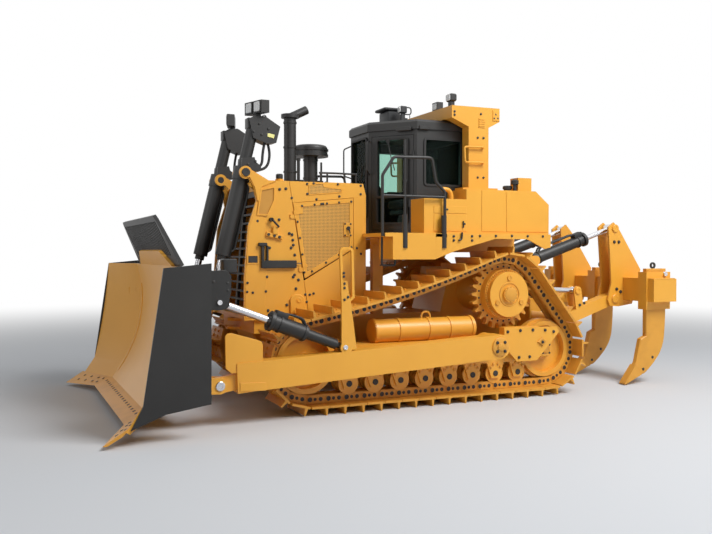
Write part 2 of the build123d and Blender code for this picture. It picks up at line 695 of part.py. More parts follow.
# Fenders: deck plates either side of the cab with skirts down to the track arch
DECK_TOP = 2170
DECK_PLATE = 45
DECK_INNER_Y = 560
DECK_OUTER_Y = 1430
DECK_FRONT_X = 709
DECK_REAR_X = -1760
with BuildPart() as fenders:
    block((DECK_REAR_X, ENCLOSURE_REAR_X - 10), (DECK_INNER_Y, DECK_OUTER_Y), (DECK_TOP - DECK_PLATE, DECK_TOP))
    block((ENCLOSURE_REAR_X - 20, DECK_FRONT_X), (HOOD_OUTER_Y + 6, DECK_OUTER_Y), (DECK_TOP - DECK_PLATE, DECK_TOP))
    side_plate(
        DECK_OUTER_Y - 25,
        DECK_OUTER_Y,
        [
            (-157, DECK_TOP),
            (DECK_REAR_X, DECK_TOP),
            (DECK_REAR_X, 1997),
            (-1665, 1976),
            (-1393, 2102),
            (-881, 2106),
            (-280, 1949),
            (-157, 1949),
        ],
    )
    block((0, 604), (1050, DECK_OUTER_Y), (1843, DECK_TOP))
    # Legs down to the hull rails
    block((250, 400), (330, 420), (FRAME_TOP + SEAT_GAP, DECK_TOP - DECK_PLATE))
    block((250, 400), (330, DECK_INNER_Y + 40), (2040, DECK_TOP - DECK_PLATE))
    both_sides()

# Cab: a six-sided room, doors on its two leaning front sides
CAB_FLOOR_Z = DECK_TOP
CAB_EAVES_Z = 3560
CAB_ROOF_Z = 3690
CAB_WALL = 60
CAB_FRONT_X = 407
CAB_FRONT_HALF = 300
CAB_WIDE_X = -45
CAB_HALF = 840
CAB_REAR_X = -825
DOOR_FOOT_Z = 2225
DOOR_HEAD_Z = 3490
DOOR_MARGIN = 45
DOOR_GAP = 6
cab_front = Vector(CAB_FRONT_X, CAB_FRONT_HALF)
cab_corner = Vector(CAB_WIDE_X, CAB_HALF)
door_way = (cab_corner - cab_front).normalized()
door_side_length = (cab_corner - cab_front).length
door_plan = Plane(origin=(CAB_FRONT_X, CAB_FRONT_HALF, 0), x_dir=(door_way.X, door_way.Y, 0), z_dir=(0, 0, 1))
cab_plan = [
    (CAB_FRONT_X, CAB_FRONT_HALF),
    (CAB_WIDE_X, CAB_HALF),
    (CAB_REAR_X, CAB_HALF),
    (CAB_REAR_X, -CAB_HALF),
    (CAB_WIDE_X, -CAB_HALF),
    (CAB_FRONT_X, -CAB_FRONT_HALF),
]


def door_side_block(start, end, depth, z_low, z_high, mode=Mode.ADD):
    """A block on the leaning cab side: start and end run from the front corner, depth goes inwards."""
    with BuildSketch(door_plan.offset(z_low)) as base:
        with Locations(((start + end) / 2, (depth[0] + depth[1]) / 2)):
            Rectangle(end - start, depth[1] - depth[0])
    extrude(base.sketch, amount=z_high - z_low, mode=mode)


# Cab door hinges: a vertical axis just outside the door's rear edge
CAB_HINGE_ALONG = door_side_length - DOOR_MARGIN - DOOR_GAP / 2
CAB_HINGE_OUT = 16
CAB_HINGE_RADIUS = 13
CAB_HINGE_PIN = 8
CAB_HINGE_Z = (2470, 3180)
CAB_HINGE_HEIGHT = 45
cab_hinge = (
    cab_front
    + door_way * CAB_HINGE_ALONG
    + Vector(door_way.Y, -door_way.X) * CAB_HINGE_OUT
)
print("cab door axis", cab_hinge)


def hinge_barrel(radius, z_low, z_high, mode=Mode.ADD):
    """A round piece on the cab door's hinge axis."""
    rod_line((cab_hinge.X, cab_hinge.Y, z_low), (cab_hinge.X, cab_hinge.Y, z_high), radius, mode)


with BuildPart() as cab_shell:
    with BuildSketch(at_z(CAB_FLOOR_Z)):
        with BuildLine():
            Polyline(*cab_plan, close=True)
        room = make_face()
    extrude(amount=CAB_EAVES_Z - CAB_FLOOR_Z)
    with BuildSketch(at_z(CAB_FLOOR_Z + 40)):
        offset(room, amount=-CAB_WALL, kind=Kind.INTERSECTION)
    extrude(amount=CAB_EAVES_Z - CAB_FLOOR_Z - 40, mode=Mode.SUBTRACT)
    door_side_block(
        DOOR_MARGIN, door_side_length - DOOR_MARGIN, (-90, 90), DOOR_FOOT_Z, DOOR_HEAD_Z, mode=Mode.SUBTRACT
    )
    # Windows cut straight through: x span, y span, z span
    for x_span, y_span, z_span in (
        ((CAB_FRONT_X - 90, CAB_FRONT_X + 10), (-CAB_FRONT_HALF + 60, CAB_FRONT_HALF - 60), (2420, 3480)),
        ((CAB_REAR_X + 110, CAB_WIDE_X - 120), (CAB_HALF - 90, CAB_HALF + 10), (2830, 3430)),
        ((CAB_REAR_X - 10, CAB_REAR_X + 90), (-CAB_HALF + 140, CAB_HALF - 140), (2830, 3430)),
    ):
        block(x_span, y_span, z_span, mode=Mode.SUBTRACT)
    for foot in CAB_HINGE_Z:
        hinge_barrel(CAB_HINGE_RADIUS, foot, foot + CAB_HINGE_HEIGHT)
        hinge_barrel(CAB_HINGE_PIN, foot, foot + 2 * CAB_HINGE_HEIGHT)
        door_side_block(
            CAB_HINGE_ALONG, door_side_length - 5, (-CAB_HINGE_OUT - 6, 5), foot, foot + CAB_HINGE_HEIGHT
        )
    split(bisect_by=Plane.XZ, keep=Keep.BOTTOM)
    both_sides()

CAB_ROOF_LIP = 25
with BuildPart() as cab_roof:
    with BuildSketch(at_z(CAB_EAVES_Z)):
        offset(room, amount=CAB_ROOF_LIP, kind=Kind.INTERSECTION)
    extrude(amount=CAB_ROOF_Z - CAB_EAVES_Z)
    chamfer(cab_roof.faces().sort_by(Axis.Z)[-1].edges(), 35)
    block((-250, -60), (-80, 180), (CAB_ROOF_Z - 5, CAB_ROOF_Z + 120))

# Cab glass: front, side and rear panes in the middle of their walls
GLASS = 8
PANE_EASE = SEAT_GAP
with BuildPart() as cab_glass:
    middle = CAB_WALL / 2
    block(
        (CAB_FRONT_X - middle - GLASS / 2, CAB_FRONT_X - middle + GLASS / 2),
        (-CAB_FRONT_HALF + 60 + PANE_EASE, CAB_FRONT_HALF - 60 - PANE_EASE),
        (2420 + PANE_EASE, 3480 - PANE_EASE),
    )
    block(
        (CAB_REAR_X + middle - GLASS / 2, CAB_REAR_X + middle + GLASS / 2),
        (-CAB_HALF + 140 + PANE_EASE, CAB_HALF - 140 - PANE_EASE),
        (2830 + PANE_EASE, 3430 - PANE_EASE),
    )
    for side in (-1, 1):
        low, high = sorted((side * (CAB_HALF - middle - GLASS / 2), side * (CAB_HALF - middle + GLASS / 2)))
        block(
            (CAB_REAR_X + 110 + PANE_EASE, CAB_WIDE_X - 120 - PANE_EASE),
            (low, high),
            (2830 + PANE_EASE, 3430 - PANE_EASE),
        )

# Cab doors: frames as thick as the wall, with a tall window each
DOOR_STILE = 85
DOOR_SILL_Z = 2330
DOOR_LINTEL_Z = 3430
door_start = DOOR_MARGIN + DOOR_GAP
door_end = door_side_length - DOOR_MARGIN - DOOR_GAP
with BuildPart() as cab_door_left:
    door_side_block(door_start, door_end, (0, CAB_WALL), DOOR_FOOT_Z + DOOR_GAP, DOOR_HEAD_Z - DOOR_GAP)
    door_side_block(
        door_start + DOOR_STILE,
        door_end - DOOR_STILE,
        (-10, CAB_WALL + 10),
        DOOR_SILL_Z,
        DOOR_LINTEL_Z,
        mode=Mode.SUBTRACT,
    )
    for foot in CAB_HINGE_Z:
        low, high = foot + CAB_HINGE_HEIGHT + 2, foot + 2 * CAB_HINGE_HEIGHT
        door_side_block(CAB_HINGE_ALONG - 50, CAB_HINGE_ALONG, (-CAB_HINGE_OUT - 6, 5), low, high)
        hinge_barrel(CAB_HINGE_RADIUS, low, high)
        hinge_barrel(CAB_HINGE_PIN + SEAT_GAP, low, high, mode=Mode.SUBTRACT)

with BuildPart() as cab_door_right:
    mirror(cab_door_left.part, about=Plane.XZ)

with BuildPart() as door_glass_left:
    door_side_block(
        door_start + DOOR_STILE + PANE_EASE,
        door_end - DOOR_STILE - PANE_EASE,
        (CAB_WALL / 2 - GLASS / 2, CAB_WALL / 2 + GLASS / 2),
        DOOR_SILL_Z + PANE_EASE,
        DOOR_LINTEL_Z - PANE_EASE,
    )

with BuildPart() as door_glass_right:
    mirror(door_glass_left.part, about=Plane.XZ)

# Operator seat and console on the cab floor
SEAT_X = -430
with BuildPart() as operator_seat:
    block((SEAT_X - 160, SEAT_X + 160), (-170, 170), (CAB_FLOOR_Z + 40, CAB_FLOOR_Z + 330))
    block((SEAT_X - 250, SEAT_X + 270), (-260, 260), (CAB_FLOOR_Z + 330, CAB_FLOOR_Z + 460))
    side_plate(
        -240,
        240,
        [
            (SEAT_X - 120, CAB_FLOOR_Z + 450),
            (SEAT_X - 260, CAB_FLOOR_Z + 450),
            (SEAT_X - 330, CAB_FLOOR_Z + 1120),
            (SEAT_X - 220, CAB_FLOOR_Z + 1120),
        ],
    )

with BuildPart() as control_console:
    side_plate(
        -230,
        230,
        [
            (330, CAB_FLOOR_Z + 40),
            (330, CAB_FLOOR_Z + 620),
            (230, CAB_FLOOR_Z + 700),
            (130, CAB_FLOOR_Z + 560),
            (200, CAB_FLOOR_Z + 40),
        ],
    )

# Roll-over frame: two posts and a deep beam over the cab
ROPS_OUTER_Y = CAB_HALF + 210
ROPS_POST_Y = (CAB_HALF + 50, ROPS_OUTER_Y)
ROPS_FOOT_Z = 2745
ROPS_BEAM_X = (-1195, -451)
ROPS_BEAM_Z = (3705, 3866)
with BuildPart() as rops_frame:
    side_plate(
        ROPS_POST_Y[0],
        ROPS_POST_Y[1],
        [
            (-451, 3866),
            (-1195, 3870),
            (-1195, 3690),
            (-1019, 3600),
            (-1021, ROPS_FOOT_Z + 45),
            (-709, ROPS_FOOT_Z + 45),
            (-709, 3600),
            (-451, ROPS_BEAM_Z[0]),
        ],
    )
    block((-1151, -609), (ROPS_POST_Y[0] - 25, ROPS_POST_Y[1] + 25), (ROPS_FOOT_Z, ROPS_FOOT_Z + 45))
    block(ROPS_BEAM_X, (0, ROPS_POST_Y[0]), ROPS_BEAM_Z)
    both_sides()

# Tanks: a side tank on each fender and the fuel tank across the rear
TANK_TOP = 2745
TANK_REAR_X = -1786
TANK_CHAMFER = 215
TANK_SPLIT_Y = CAB_HALF + 24
with BuildPart() as side_tanks:
    side_plate(
        TANK_SPLIT_Y + 4,
        TANK_SPLIT_Y + 486,
        [
            (-491, DECK_TOP),
            (-491, TANK_TOP),
            (TANK_REAR_X + TANK_CHAMFER, TANK_TOP),
            (TANK_REAR_X, TANK_TOP - 175),
            (TANK_REAR_X, DECK_TOP),
        ],
    )
    # Tool box ahead of the tank and the filler box on top
    block((-495, 129), (TANK_SPLIT_Y + 136, TANK_SPLIT_Y + 486), (DECK_TOP, 2611))
    block((-1545, -1330), (TANK_SPLIT_Y + 246, TANK_SPLIT_Y + 426), (TANK_TOP - 5, 2924))
    both_sides()

with BuildPart() as fuel_tank:
    side_plate(
        -TANK_SPLIT_Y,
        TANK_SPLIT_Y,
        [
            (-850, DECK_TOP),
            (-850, TANK_TOP),
            (TANK_REAR_X + TANK_CHAMFER, TANK_TOP),
            (TANK_REAR_X, TANK_TOP - 175),
            (TANK_REAR_X, DECK_TOP),
        ],
    )
    block((TANK_REAR_X, -850), (-DECK_INNER_Y + 6, DECK_INNER_Y - 6), (CASE_TOP, DECK_TOP + 5))

# Handrails on the deck edge
RAIL_Y = 1400
RAIL_RADIUS = 19
RAIL_FRONT_X = DECK_FRONT_X + 24
RAIL_REAR_X = -142
RAIL_FOOT_Z = DECK_TOP - 40
with BuildPart() as handrails:
    with BuildLine(at_y(RAIL_Y)) as rail_path:
        FilletPolyline(
            (RAIL_FRONT_X, RAIL_FOOT_Z),
            (RAIL_FRONT_X, 2873),
            (578, 3101),
            (45, 3113),
            (-12, 2815),
            (RAIL_REAR_X, 2692),
            (RAIL_REAR_X, DECK_TOP),
            radius=60,
        )
    with BuildSketch(Plane(origin=(RAIL_FRONT_X, RAIL_Y, RAIL_FOOT_Z), z_dir=(0, 0, 1))):
        Circle(RAIL_RADIUS)
    sweep(path=rail_path.wire())
    rod_line((RAIL_FRONT_X, RAIL_Y, 2626), (RAIL_REAR_X, RAIL_Y, 2626), RAIL_RADIUS - 3)
    rod_line((426, RAIL_Y, DECK_TOP), (426, RAIL_Y, 3318), RAIL_RADIUS - 3)
    block((DECK_FRONT_X + SEAT_GAP, RAIL_FRONT_X), (RAIL_Y - 14, RAIL_Y + 14), (RAIL_FOOT_Z, DECK_TOP - 5))
    both_sides()

# Work lamps on the roof frame
with BuildPart() as work_lamps:
    for lamp_y in (-560, 560):
        block((-560, -470), (lamp_y - 70, lamp_y + 70), (3866, 3980))

# Push arms: box beams from the trunnions to the blade pins
with BuildPart() as push_arms:
    side_plate(
        ARM_INNER_Y,
        ARM_OUTER_Y,
        [(2631, 705), (-800, 881), (-800, 575), (2288, 395), (2618, 375)],
    )
    cross_pin(TRUNNION_X, TRUNNION_Z, ARM_EYE_RADIUS, ARM_INNER_Y, ARM_OUTER_Y)
    cross_pin(TRUNNION_X, TRUNNION_Z, TRUNNION_RADIUS + SEAT_GAP, ARM_INNER_Y, ARM_OUTER_Y, mode=Mode.SUBTRACT)
    lug(BLADE_PIN_X, BLADE_PIN_Z, 88, [(2600, 500)], ARM_MIDDLE_Y - 38, ARM_MIDDLE_Y + 42)
    cross_pin(
        BLADE_PIN_X,
        BLADE_PIN_Z,
        BLADE_PIN_RADIUS + SEAT_GAP,
        ARM_MIDDLE_Y - 38,
        ARM_MIDDLE_Y + 42,
        mode=Mode.SUBTRACT,
    )
    for low, high in ((TILT_Y - 72, TILT_Y - 42), (TILT_Y + 42, TILT_Y + 72)):
        lug(TILT_BASE_X, TILT_BASE_Z, 60, [(TILT_BASE_X - 30, 760)], low, high)
    cross_pin(TILT_BASE_X, TILT_BASE_Z, TILT_PIN_RADIUS, TILT_Y - 72, TILT_Y + 72)
    # Hose guard: a tapered bracket on the arm with a bent hoop above it
    side_plate(
        ARM_OUTER_Y - 30,
        ARM_OUTER_Y,
        [(1379, 800), (1379, 1598), (1309, 1598), (1271, 1353), (1235, 1150), (1190, 800)],
    )
    with BuildSketch(at_y(ARM_OUTER_Y)) as hoop:
        with BuildLine():
            Polyline((1379, 1340), (1270, 1353), (1215, 1400), (1228, 1993), (1404, 1993), (1379, 1340))
        make_face()
        fillet(hoop.vertices().group_by(Axis.Y)[-1], 60)
        offset(amount=-30, kind=Kind.INTERSECTION, mode=Mode.SUBTRACT)
    extrude(hoop.sketch, amount=30)
    both_sides()

# Moldboard: one curved section, straight across the centre and drawn forward along the wings
# Section of the moldboard at the centre, from the lower front edge
SECTION_TOE = (3592, 150)
SECTION_KNEE = (3428, 400)
SECTION_MID = (3180, 1062)
SECTION_HEAD = (3222, BLADE_TOP)


def blade_section(y, shift, bulge=0):
    """The moldboard's skin as a face at width y, moved forward by shift, its middle by bulge more."""
    with BuildSketch(at_y(y)) as section:
        with BuildLine():
            front = [
                Line((SECTION_TOE[0] + shift, SECTION_TOE[1]), (SECTION_KNEE[0] + shift, SECTION_KNEE[1])),
                ThreePointArc(
                    (SECTION_KNEE[0] + shift, SECTION_KNEE[1]),
                    (SECTION_MID[0] + shift + bulge, SECTION_MID[1]),
                    (SECTION_HEAD[0] + shift, SECTION_HEAD[1]),
                ),
            ]
            Line((SECTION_HEAD[0] + shift, SECTION_HEAD[1]), (SECTION_HEAD[0] + shift - 60, SECTION_HEAD[1]))
            ThreePointArc(
                (SECTION_HEAD[0] + shift - 60, SECTION_HEAD[1]),
                (SECTION_MID[0] + shift + bulge - BLADE_SKIN, SECTION_MID[1]),
                (SECTION_KNEE[0] + shift - BLADE_SKIN, SECTION_KNEE[1] - 20),
            )
            Line(
                (SECTION_KNEE[0] + shift - BLADE_SKIN, SECTION_KNEE[1] - 20),
                (SECTION_TOE[0] + shift - BLADE_SKIN, SECTION_TOE[1] - 25),
            )
            Line((SECTION_TOE[0] + shift - BLADE_SKIN, SECTION_TOE[1] - 25), (SECTION_TOE[0] + shift, SECTION_TOE[1]))
        make_face()
    return section.sketch


WING_END_SHIFT = WING_REACH * (WING_END_Y - BLADE_HALF_CENTRE) / (BLADE_HALF_WIDTH - BLADE_HALF_CENTRE)
WING_END_BULGE = 120
LUG_SEAT_X = 3075
LUG_Y = ((LIFT_EYE_Y - 105, LIFT_EYE_Y - 70), (LIFT_EYE_Y + 70, LIFT_EYE_Y + 105))
RAIL_BACK_X = 3070
SECTION_BACK_X = 3124
# The spill plate and the rock guard lean forward over the moldboard's top edge
GUARD_LEAN_X, GUARD_LEAN_Z = 0.427, 0.904
SPILL_THICKNESS = 35


def wing_shift(y, at_end):
    """How far forward the wing lies at width y, from its forward reach at its end."""
    return at_end * (y - BLADE_HALF_CENTRE) / (WING_END_Y - BLADE_HALF_CENTRE)


def lean_plane(behind, lift):
    """The leaning plane over the top edge: sketch x is machine Y, sketch y runs up the lean."""
    return Plane(
        origin=(SECTION_HEAD[0] - behind / GUARD_LEAN_Z, 0, BLADE_TOP + lift),
        x_dir=(0, 1, 0),
        z_dir=(GUARD_LEAN_Z, 0, -GUARD_LEAN_X),
    )


with BuildPart() as moldboard:
    extrude(blade_section(BLADE_HALF_CENTRE, 0), amount=BLADE_HALF_CENTRE)
    loft(
        [blade_section(BLADE_HALF_CENTRE, 0), blade_section(WING_END_Y, WING_END_SHIFT, WING_END_BULGE)],
        ruled=True,
    )
    # Back frame: top and bottom rails, ribs and the seats of the lift lugs
    block((RAIL_BACK_X, 3176), (0, 1500), (1600, 1700))
    block((3100, 3385), (0, 1500), (260, 380))
    for rib_y in (140, 760, 1180):
        side_plate(
            rib_y,
            rib_y + 30,
            [(RAIL_BACK_X, 1650), (3170, 1650), (3150, 1062), (3360, 380), (3120, 300), (RAIL_BACK_X, 900)],
        )
    block((LUG_SEAT_X, 3225), (LUG_Y[0][0] - 30, LUG_Y[1][1] + 30), (LIFT_EYE_Z - 110, LIFT_EYE_Z + 110))
    # Spill plate along the top of the centre
    with BuildSketch(lean_plane(0, 0)):
        with BuildLine():
            Polyline((0, -60), (0, 191), (700, 191), (1050, 8), (1050, -60), close=True)
        make_face()
    extrude(amount=-SPILL_THICKNESS)
    both_sides()
    # Ears for the push arm pins and the tilt cylinders
    for side in (-1, 1):
        # Ears of one joint: inner face, outer face
        for near, far in ((ARM_MIDDLE_Y - 85, ARM_MIDDLE_Y - 43), (ARM_MIDDLE_Y + 47, ARM_MIDDLE_Y + 89)):
            low, high = sorted((side * near, side * far))
            forward = wing_shift(near, WING_END_SHIFT)
            lug(BLADE_PIN_X, BLADE_PIN_Z, 88, [(3200, 480)], low, high)
            side_plate(low, high, [(3150, 568), (3324 + forward, 568), (3423 + forward, 392), (3150, 392)])
        for near, far in ((TILT_Y - 85, TILT_Y - 43), (TILT_Y + 47, TILT_Y + 89)):
            low, high = sorted((side * near, side * far))
            root_x = SECTION_BACK_X + wing_shift(far, WING_END_SHIFT + WING_END_BULGE) + 8
            lug(TILT_EYE_X, TILT_EYE_Z, 78, [(root_x, 1350)], low, high)
        low, high = sorted((side * (ARM_MIDDLE_Y - 85), side * (ARM_MIDDLE_Y + 89)))
        cross_pin(BLADE_PIN_X, BLADE_PIN_Z, BLADE_PIN_RADIUS, low, high)

# Lift lugs: two ears a side on the moldboard's back for the lift cylinders' eyes
with BuildPart() as lift_lugs:
    for low, high in LUG_Y:
        lug(LIFT_EYE_X, LIFT_EYE_Z, 80, [(LUG_SEAT_X - SEAT_GAP, LIFT_EYE_Z)], low, high)
    both_sides()

# Cutting edges and end bits: bolted plates that lean forward under the moldboard
EDGE_TIP = (3803, 88)
EDGE_TIP_WIDTH = 47
EDGE_SEAT_Z = (192, 150)
EDGE_DROP = 48


def edge_seat(z, shift):
    """The point at height z on the line that the moldboard's lower face follows, eased off it."""
    slope = (SECTION_TOE[0] - SECTION_KNEE[0]) / (SECTION_KNEE[1] - SECTION_TOE[1])
    return (SECTION_TOE[0] + shift + SEAT_GAP + (SECTION_TOE[1] - z) * slope, z)


def edge_section(y, shift, drop):
    """The section of the cutting edge at width y."""
    with BuildSketch(at_y(y)) as section:
        with BuildLine():
            Polyline(
                edge_seat(EDGE_SEAT_Z[0], shift),
                (EDGE_TIP[0] + shift, EDGE_TIP[1] - drop),
                (EDGE_TIP[0] + shift - EDGE_TIP_WIDTH, EDGE_TIP[1] - drop),
                edge_seat(EDGE_SEAT_Z[1] - 26, shift),
                close=True,
            )
        make_face()
    return section.sketch


with BuildPart() as cutting_edges:
    extrude(edge_section(BLADE_HALF_CENTRE, 0, 0), amount=BLADE_HALF_CENTRE)
    loft(
        [edge_section(BLADE_HALF_CENTRE, 0, 0), edge_section(BLADE_HALF_WIDTH, WING_REACH, EDGE_DROP)],
        ruled=True,
    )
    both_sides()

# Side plates: the flat black ends of the blade
with BuildPart() as blade_side_plates:
    side_plate(
        WING_END_Y,
        WING_END_Y + 28,
        [(3514, 1773), (3028, 1818), (3034, 372), (3500, 300), (3840, 165), (3720, 395)],
    )
    both_sides()

# Rock guard: the barred frame that leans forward behind the spill plate
GUARD_FOOT_HALF = 1380
GUARD_HEAD_HALF = 1190
GUARD_RISE = 622
GUARD_SLOTS = 27
with BuildPart() as rock_guard:
    with BuildSketch(lean_plane(SPILL_THICKNESS + SEAT_GAP, SEAT_GAP)):
        with BuildLine():
            Polyline(
                (-GUARD_FOOT_HALF, 0),
                (-GUARD_HEAD_HALF, GUARD_RISE - 50),
                (-GUARD_HEAD_HALF + 50, GUARD_RISE),
                (GUARD_HEAD_HALF - 50, GUARD_RISE),
                (GUARD_HEAD_HALF, GUARD_RISE - 50),
                (GUARD_FOOT_HALF, 0),
                close=True,
            )
        make_face()
        with GridLocations(85, 0, GUARD_SLOTS, 1):
            with Locations((0, 345)):
                Rectangle(56, 420, mode=Mode.SUBTRACT)
    extrude(amount=-40)


# Lift cylinders: trunnion-hung barrels with lamp boxes, and their rods
lift_top = (LIFT_YOKE_X, LIFT_YOKE_Y, LIFT_YOKE_Z)
lift_eye = (LIFT_EYE_X, LIFT_EYE_Y, LIFT_EYE_Z)
LIFT_BARREL_ABOVE = 620
LIFT_BARREL_BELOW = 1040
LIFT_GLAND_BELOW = 1100
LIFT_TUBE_RADIUS = 75
LIFT_ROD_INSIDE = 550
HEAD_HALF = 95
with BuildPart() as lift_barrels:
    # Steps of the cylinder: start and end down from the trunnion, radius
    for start, end, radius in (
        (-LIFT_BARREL_ABOVE, 90, LIFT_TUBE_RADIUS),
        (80, LIFT_BARREL_BELOW, LIFT_BARREL_RADIUS),
        (LIFT_BARREL_BELOW - 10, LIFT_GLAND_BELOW, 62),
        (-70, 90, 108),
    ):
        rod_line(along(lift_top, lift_eye, start), along(lift_top, lift_eye, end), radius)
    # Manifold block over the trunnion
    side_plate(
        LIFT_YOKE_Y - HEAD_HALF,
        LIFT_YOKE_Y + HEAD_HALF,
        [(2285, 3085), (2130, 3100), (2115, 3045), (2045, 2990), (2055, 2930), (2300, 2930)],
    )
    # Head block, its neck and the lamp pod on top
    side_plate(
        LIFT_YOKE_Y - HEAD_HALF,
        LIFT_YOKE_Y + HEAD_HALF,
        [(2197, 3565), (2133, 3606), (1992, 3610), (1797, 3492), (1849, 3290), (1966, 3272), (2146, 3336)],
    )
    block((2030, 2100), (LIFT_YOKE_Y - 40, LIFT_YOKE_Y + 40), (3560, 3660))
    level_plate(
        3642,
        3797,
        [
            (1964, LIFT_YOKE_Y + 172),
            (2066, LIFT_YOKE_Y + 172),
            (2176, LIFT_YOKE_Y - 172),
            (2074, LIFT_YOKE_Y - 172),
        ],
    )
    rod_line(
        along(lift_top, lift_eye, -LIFT_BARREL_ABOVE + 40),
        along(lift_top, lift_eye, LIFT_GLAND_BELOW + 10),
        LIFT_ROD_RADIUS + SEAT_GAP,
        mode=Mode.SUBTRACT,
    )
    cross_pin(LIFT_YOKE_X, LIFT_YOKE_Z, YOKE_PIN_RADIUS, LIFT_YOKE_Y + 80, GUARD_OUTER_Y)
    cross_pin(LIFT_YOKE_X, LIFT_YOKE_Z, YOKE_PIN_RADIUS, HORN_INNER_Y[0], LIFT_YOKE_Y - 80)
    both_sides()

with BuildPart() as lift_rod_left:
    rod_line(along(lift_top, lift_eye, LIFT_ROD_INSIDE), lift_eye, LIFT_ROD_RADIUS)
    cross_pin(LIFT_EYE_X, LIFT_EYE_Z, 62, LIFT_EYE_Y - 55, LIFT_EYE_Y + 55)

with BuildPart() as lift_rod_right:
    mirror(lift_rod_left.part, about=Plane.XZ)

# Tilt cylinders between the push arms and the blade
tilt_base = (TILT_BASE_X, TILT_Y, TILT_BASE_Z)
tilt_eye = (TILT_EYE_X, TILT_Y, TILT_EYE_Z)
with BuildPart() as tilt_barrels:
    cross_pin(TILT_BASE_X, TILT_BASE_Z, 45, TILT_Y - 36, TILT_Y + 36)
    rod_line(along(tilt_base, tilt_eye, 20), along(tilt_base, tilt_eye, 110), 34)
    cross_pin(
        TILT_BASE_X, TILT_BASE_Z, TILT_PIN_RADIUS + SEAT_GAP, TILT_Y - 40, TILT_Y + 40, mode=Mode.SUBTRACT
    )
    rod_line(along(tilt_base, tilt_eye, 100), along(tilt_base, tilt_eye, 520), 60)
    rod_line(along(tilt_base, tilt_eye, 500), along(tilt_base, tilt_eye, 980), 92)
    rod_line(
        along(tilt_base, tilt_eye, 300), along(tilt_base, tilt_eye, 990), 42 + SEAT_GAP, mode=Mode.SUBTRACT
    )
    both_sides()

with BuildPart() as tilt_rods:
    rod_line(along(tilt_base, tilt_eye, 500), tilt_eye, 42)
    cross_pin(TILT_EYE_X, TILT_EYE_Z, 70, TILT_Y - 40, TILT_Y + 40)
    both_sides()

# Ripper: lower link, hinge shaft, beam with brackets, shanks and points
LINK_Y = (475, 650)
LINK_RADIUS = 85
with BuildPart() as ripper_link:
    lug(RIPPER_PIN_X, RIPPER_PIN_Z, LINK_RADIUS, [(RIPPER_PIVOT_X, RIPPER_PIVOT_Z)], LINK_Y[0], LINK_Y[1])
    cross_pin(RIPPER_PIVOT_X, RIPPER_PIVOT_Z, LINK_RADIUS, LINK_Y[0], LINK_Y[1])
    cross_pin(RIPPER_PIN_X, RIPPER_PIN_Z, 50 + SEAT_GAP, LINK_Y[0], LINK_Y[1], mode=Mode.SUBTRACT)
    cross_pin(
        RIPPER_PIVOT_X, RIPPER_PIVOT_Z, LINK_PIN_RADIUS + SEAT_GAP, LINK_Y[0], LINK_Y[1], mode=Mode.SUBTRACT
    )
    for low, high in ((LINK_Y[0], LINK_Y[0] + 28), (LINK_Y[1] - 28, LINK_Y[1])):
        lug(RIPPER_LIFT_EYE_X, RIPPER_LIFT_EYE_Z, 68, [(-2900, 1060)], low, high)
    cross_pin(-2650, 930, 85, 0, LINK_Y[0] + 5)
    both_sides()

with BuildPart() as ripper_pins:
    cross_pin(RIPPER_PIN_X, RIPPER_PIN_Z, 50, 428, 700)
    both_sides()

BRACKET_Y = ((436, 466), (658, 688))
bracket_outline = [
    (-3498, 2382),
    (-3394, 2308),
    (-3400, 2240),
    (-3432, 1833),
    (-3457, 1467),
    (-3390, 1213),
    (-3440, 1118),
    (-3600, 1110),
    (-3861, 1144),
    (-4026, 1663),
    (-3616, 2255),
]
SHANK_Y = (0, 1120)
SHANK_HALF = 44
BEAM_X = (-4118, -3685)
SHANK_X = (-4072, -3694)
POCKET_X = (-4112, -3652)
BEAM_Z = (1205, 1540)
BEAM_HALF = 1320
with BuildPart() as ripper_beam:
    block(BEAM_X, (0, BEAM_HALF), BEAM_Z)
    for low, high in BRACKET_Y:
        side_plate(low, high, bracket_outline)
        cross_pin(RIPPER_PIN_X, RIPPER_PIN_Z, 50 + SEAT_GAP, low, high, mode=Mode.SUBTRACT)
    both_sides()
    for shank_y in (-SHANK_Y[1], SHANK_Y[0], SHANK_Y[1]):
        block(POCKET_X, (shank_y - SHANK_HALF - 40, shank_y + SHANK_HALF + 40), (1090, 1640))
        block(SHANK_X, (shank_y - SHANK_HALF, shank_y + SHANK_HALF), (1000, 1700), mode=Mode.SUBTRACT)

POINT_SEAT = ((-3486, 288), (-3600, 139))
shank_outline = [
    (SHANK_X[1] - SEAT_GAP, 1690),
    (SHANK_X[1] - SEAT_GAP, 700),
    (-3593, 658),
    (-3510, 320),
    POINT_SEAT[0],
    POINT_SEAT[1],
    (-3690, 143),
    (-4029, 476),
    (SHANK_X[0] + SEAT_GAP, 900),
    (SHANK_X[0] + SEAT_GAP, 1690),
]
with BuildPart() as ripper_shanks:
    for shank_y in (-SHANK_Y[1], SHANK_Y[0], SHANK_Y[1]):
        side_plate(shank_y - SHANK_HALF + SEAT_GAP, shank_y + SHANK_HALF - SEAT_GAP, shank_outline)

with BuildPart() as ripper_points:
    for shank_y in (-SHANK_Y[1], SHANK_Y[0], SHANK_Y[1]):
        side_plate(
            shank_y - 60,
            shank_y + 60,
            [
                (POINT_SEAT[0][0] + SEAT_GAP, POINT_SEAT[0][1]),
                (-3281, 26),
                (-3290, 10),
                (POINT_SEAT[1][0] + SEAT_GAP, POINT_SEAT[1][1]),
            ],
        )

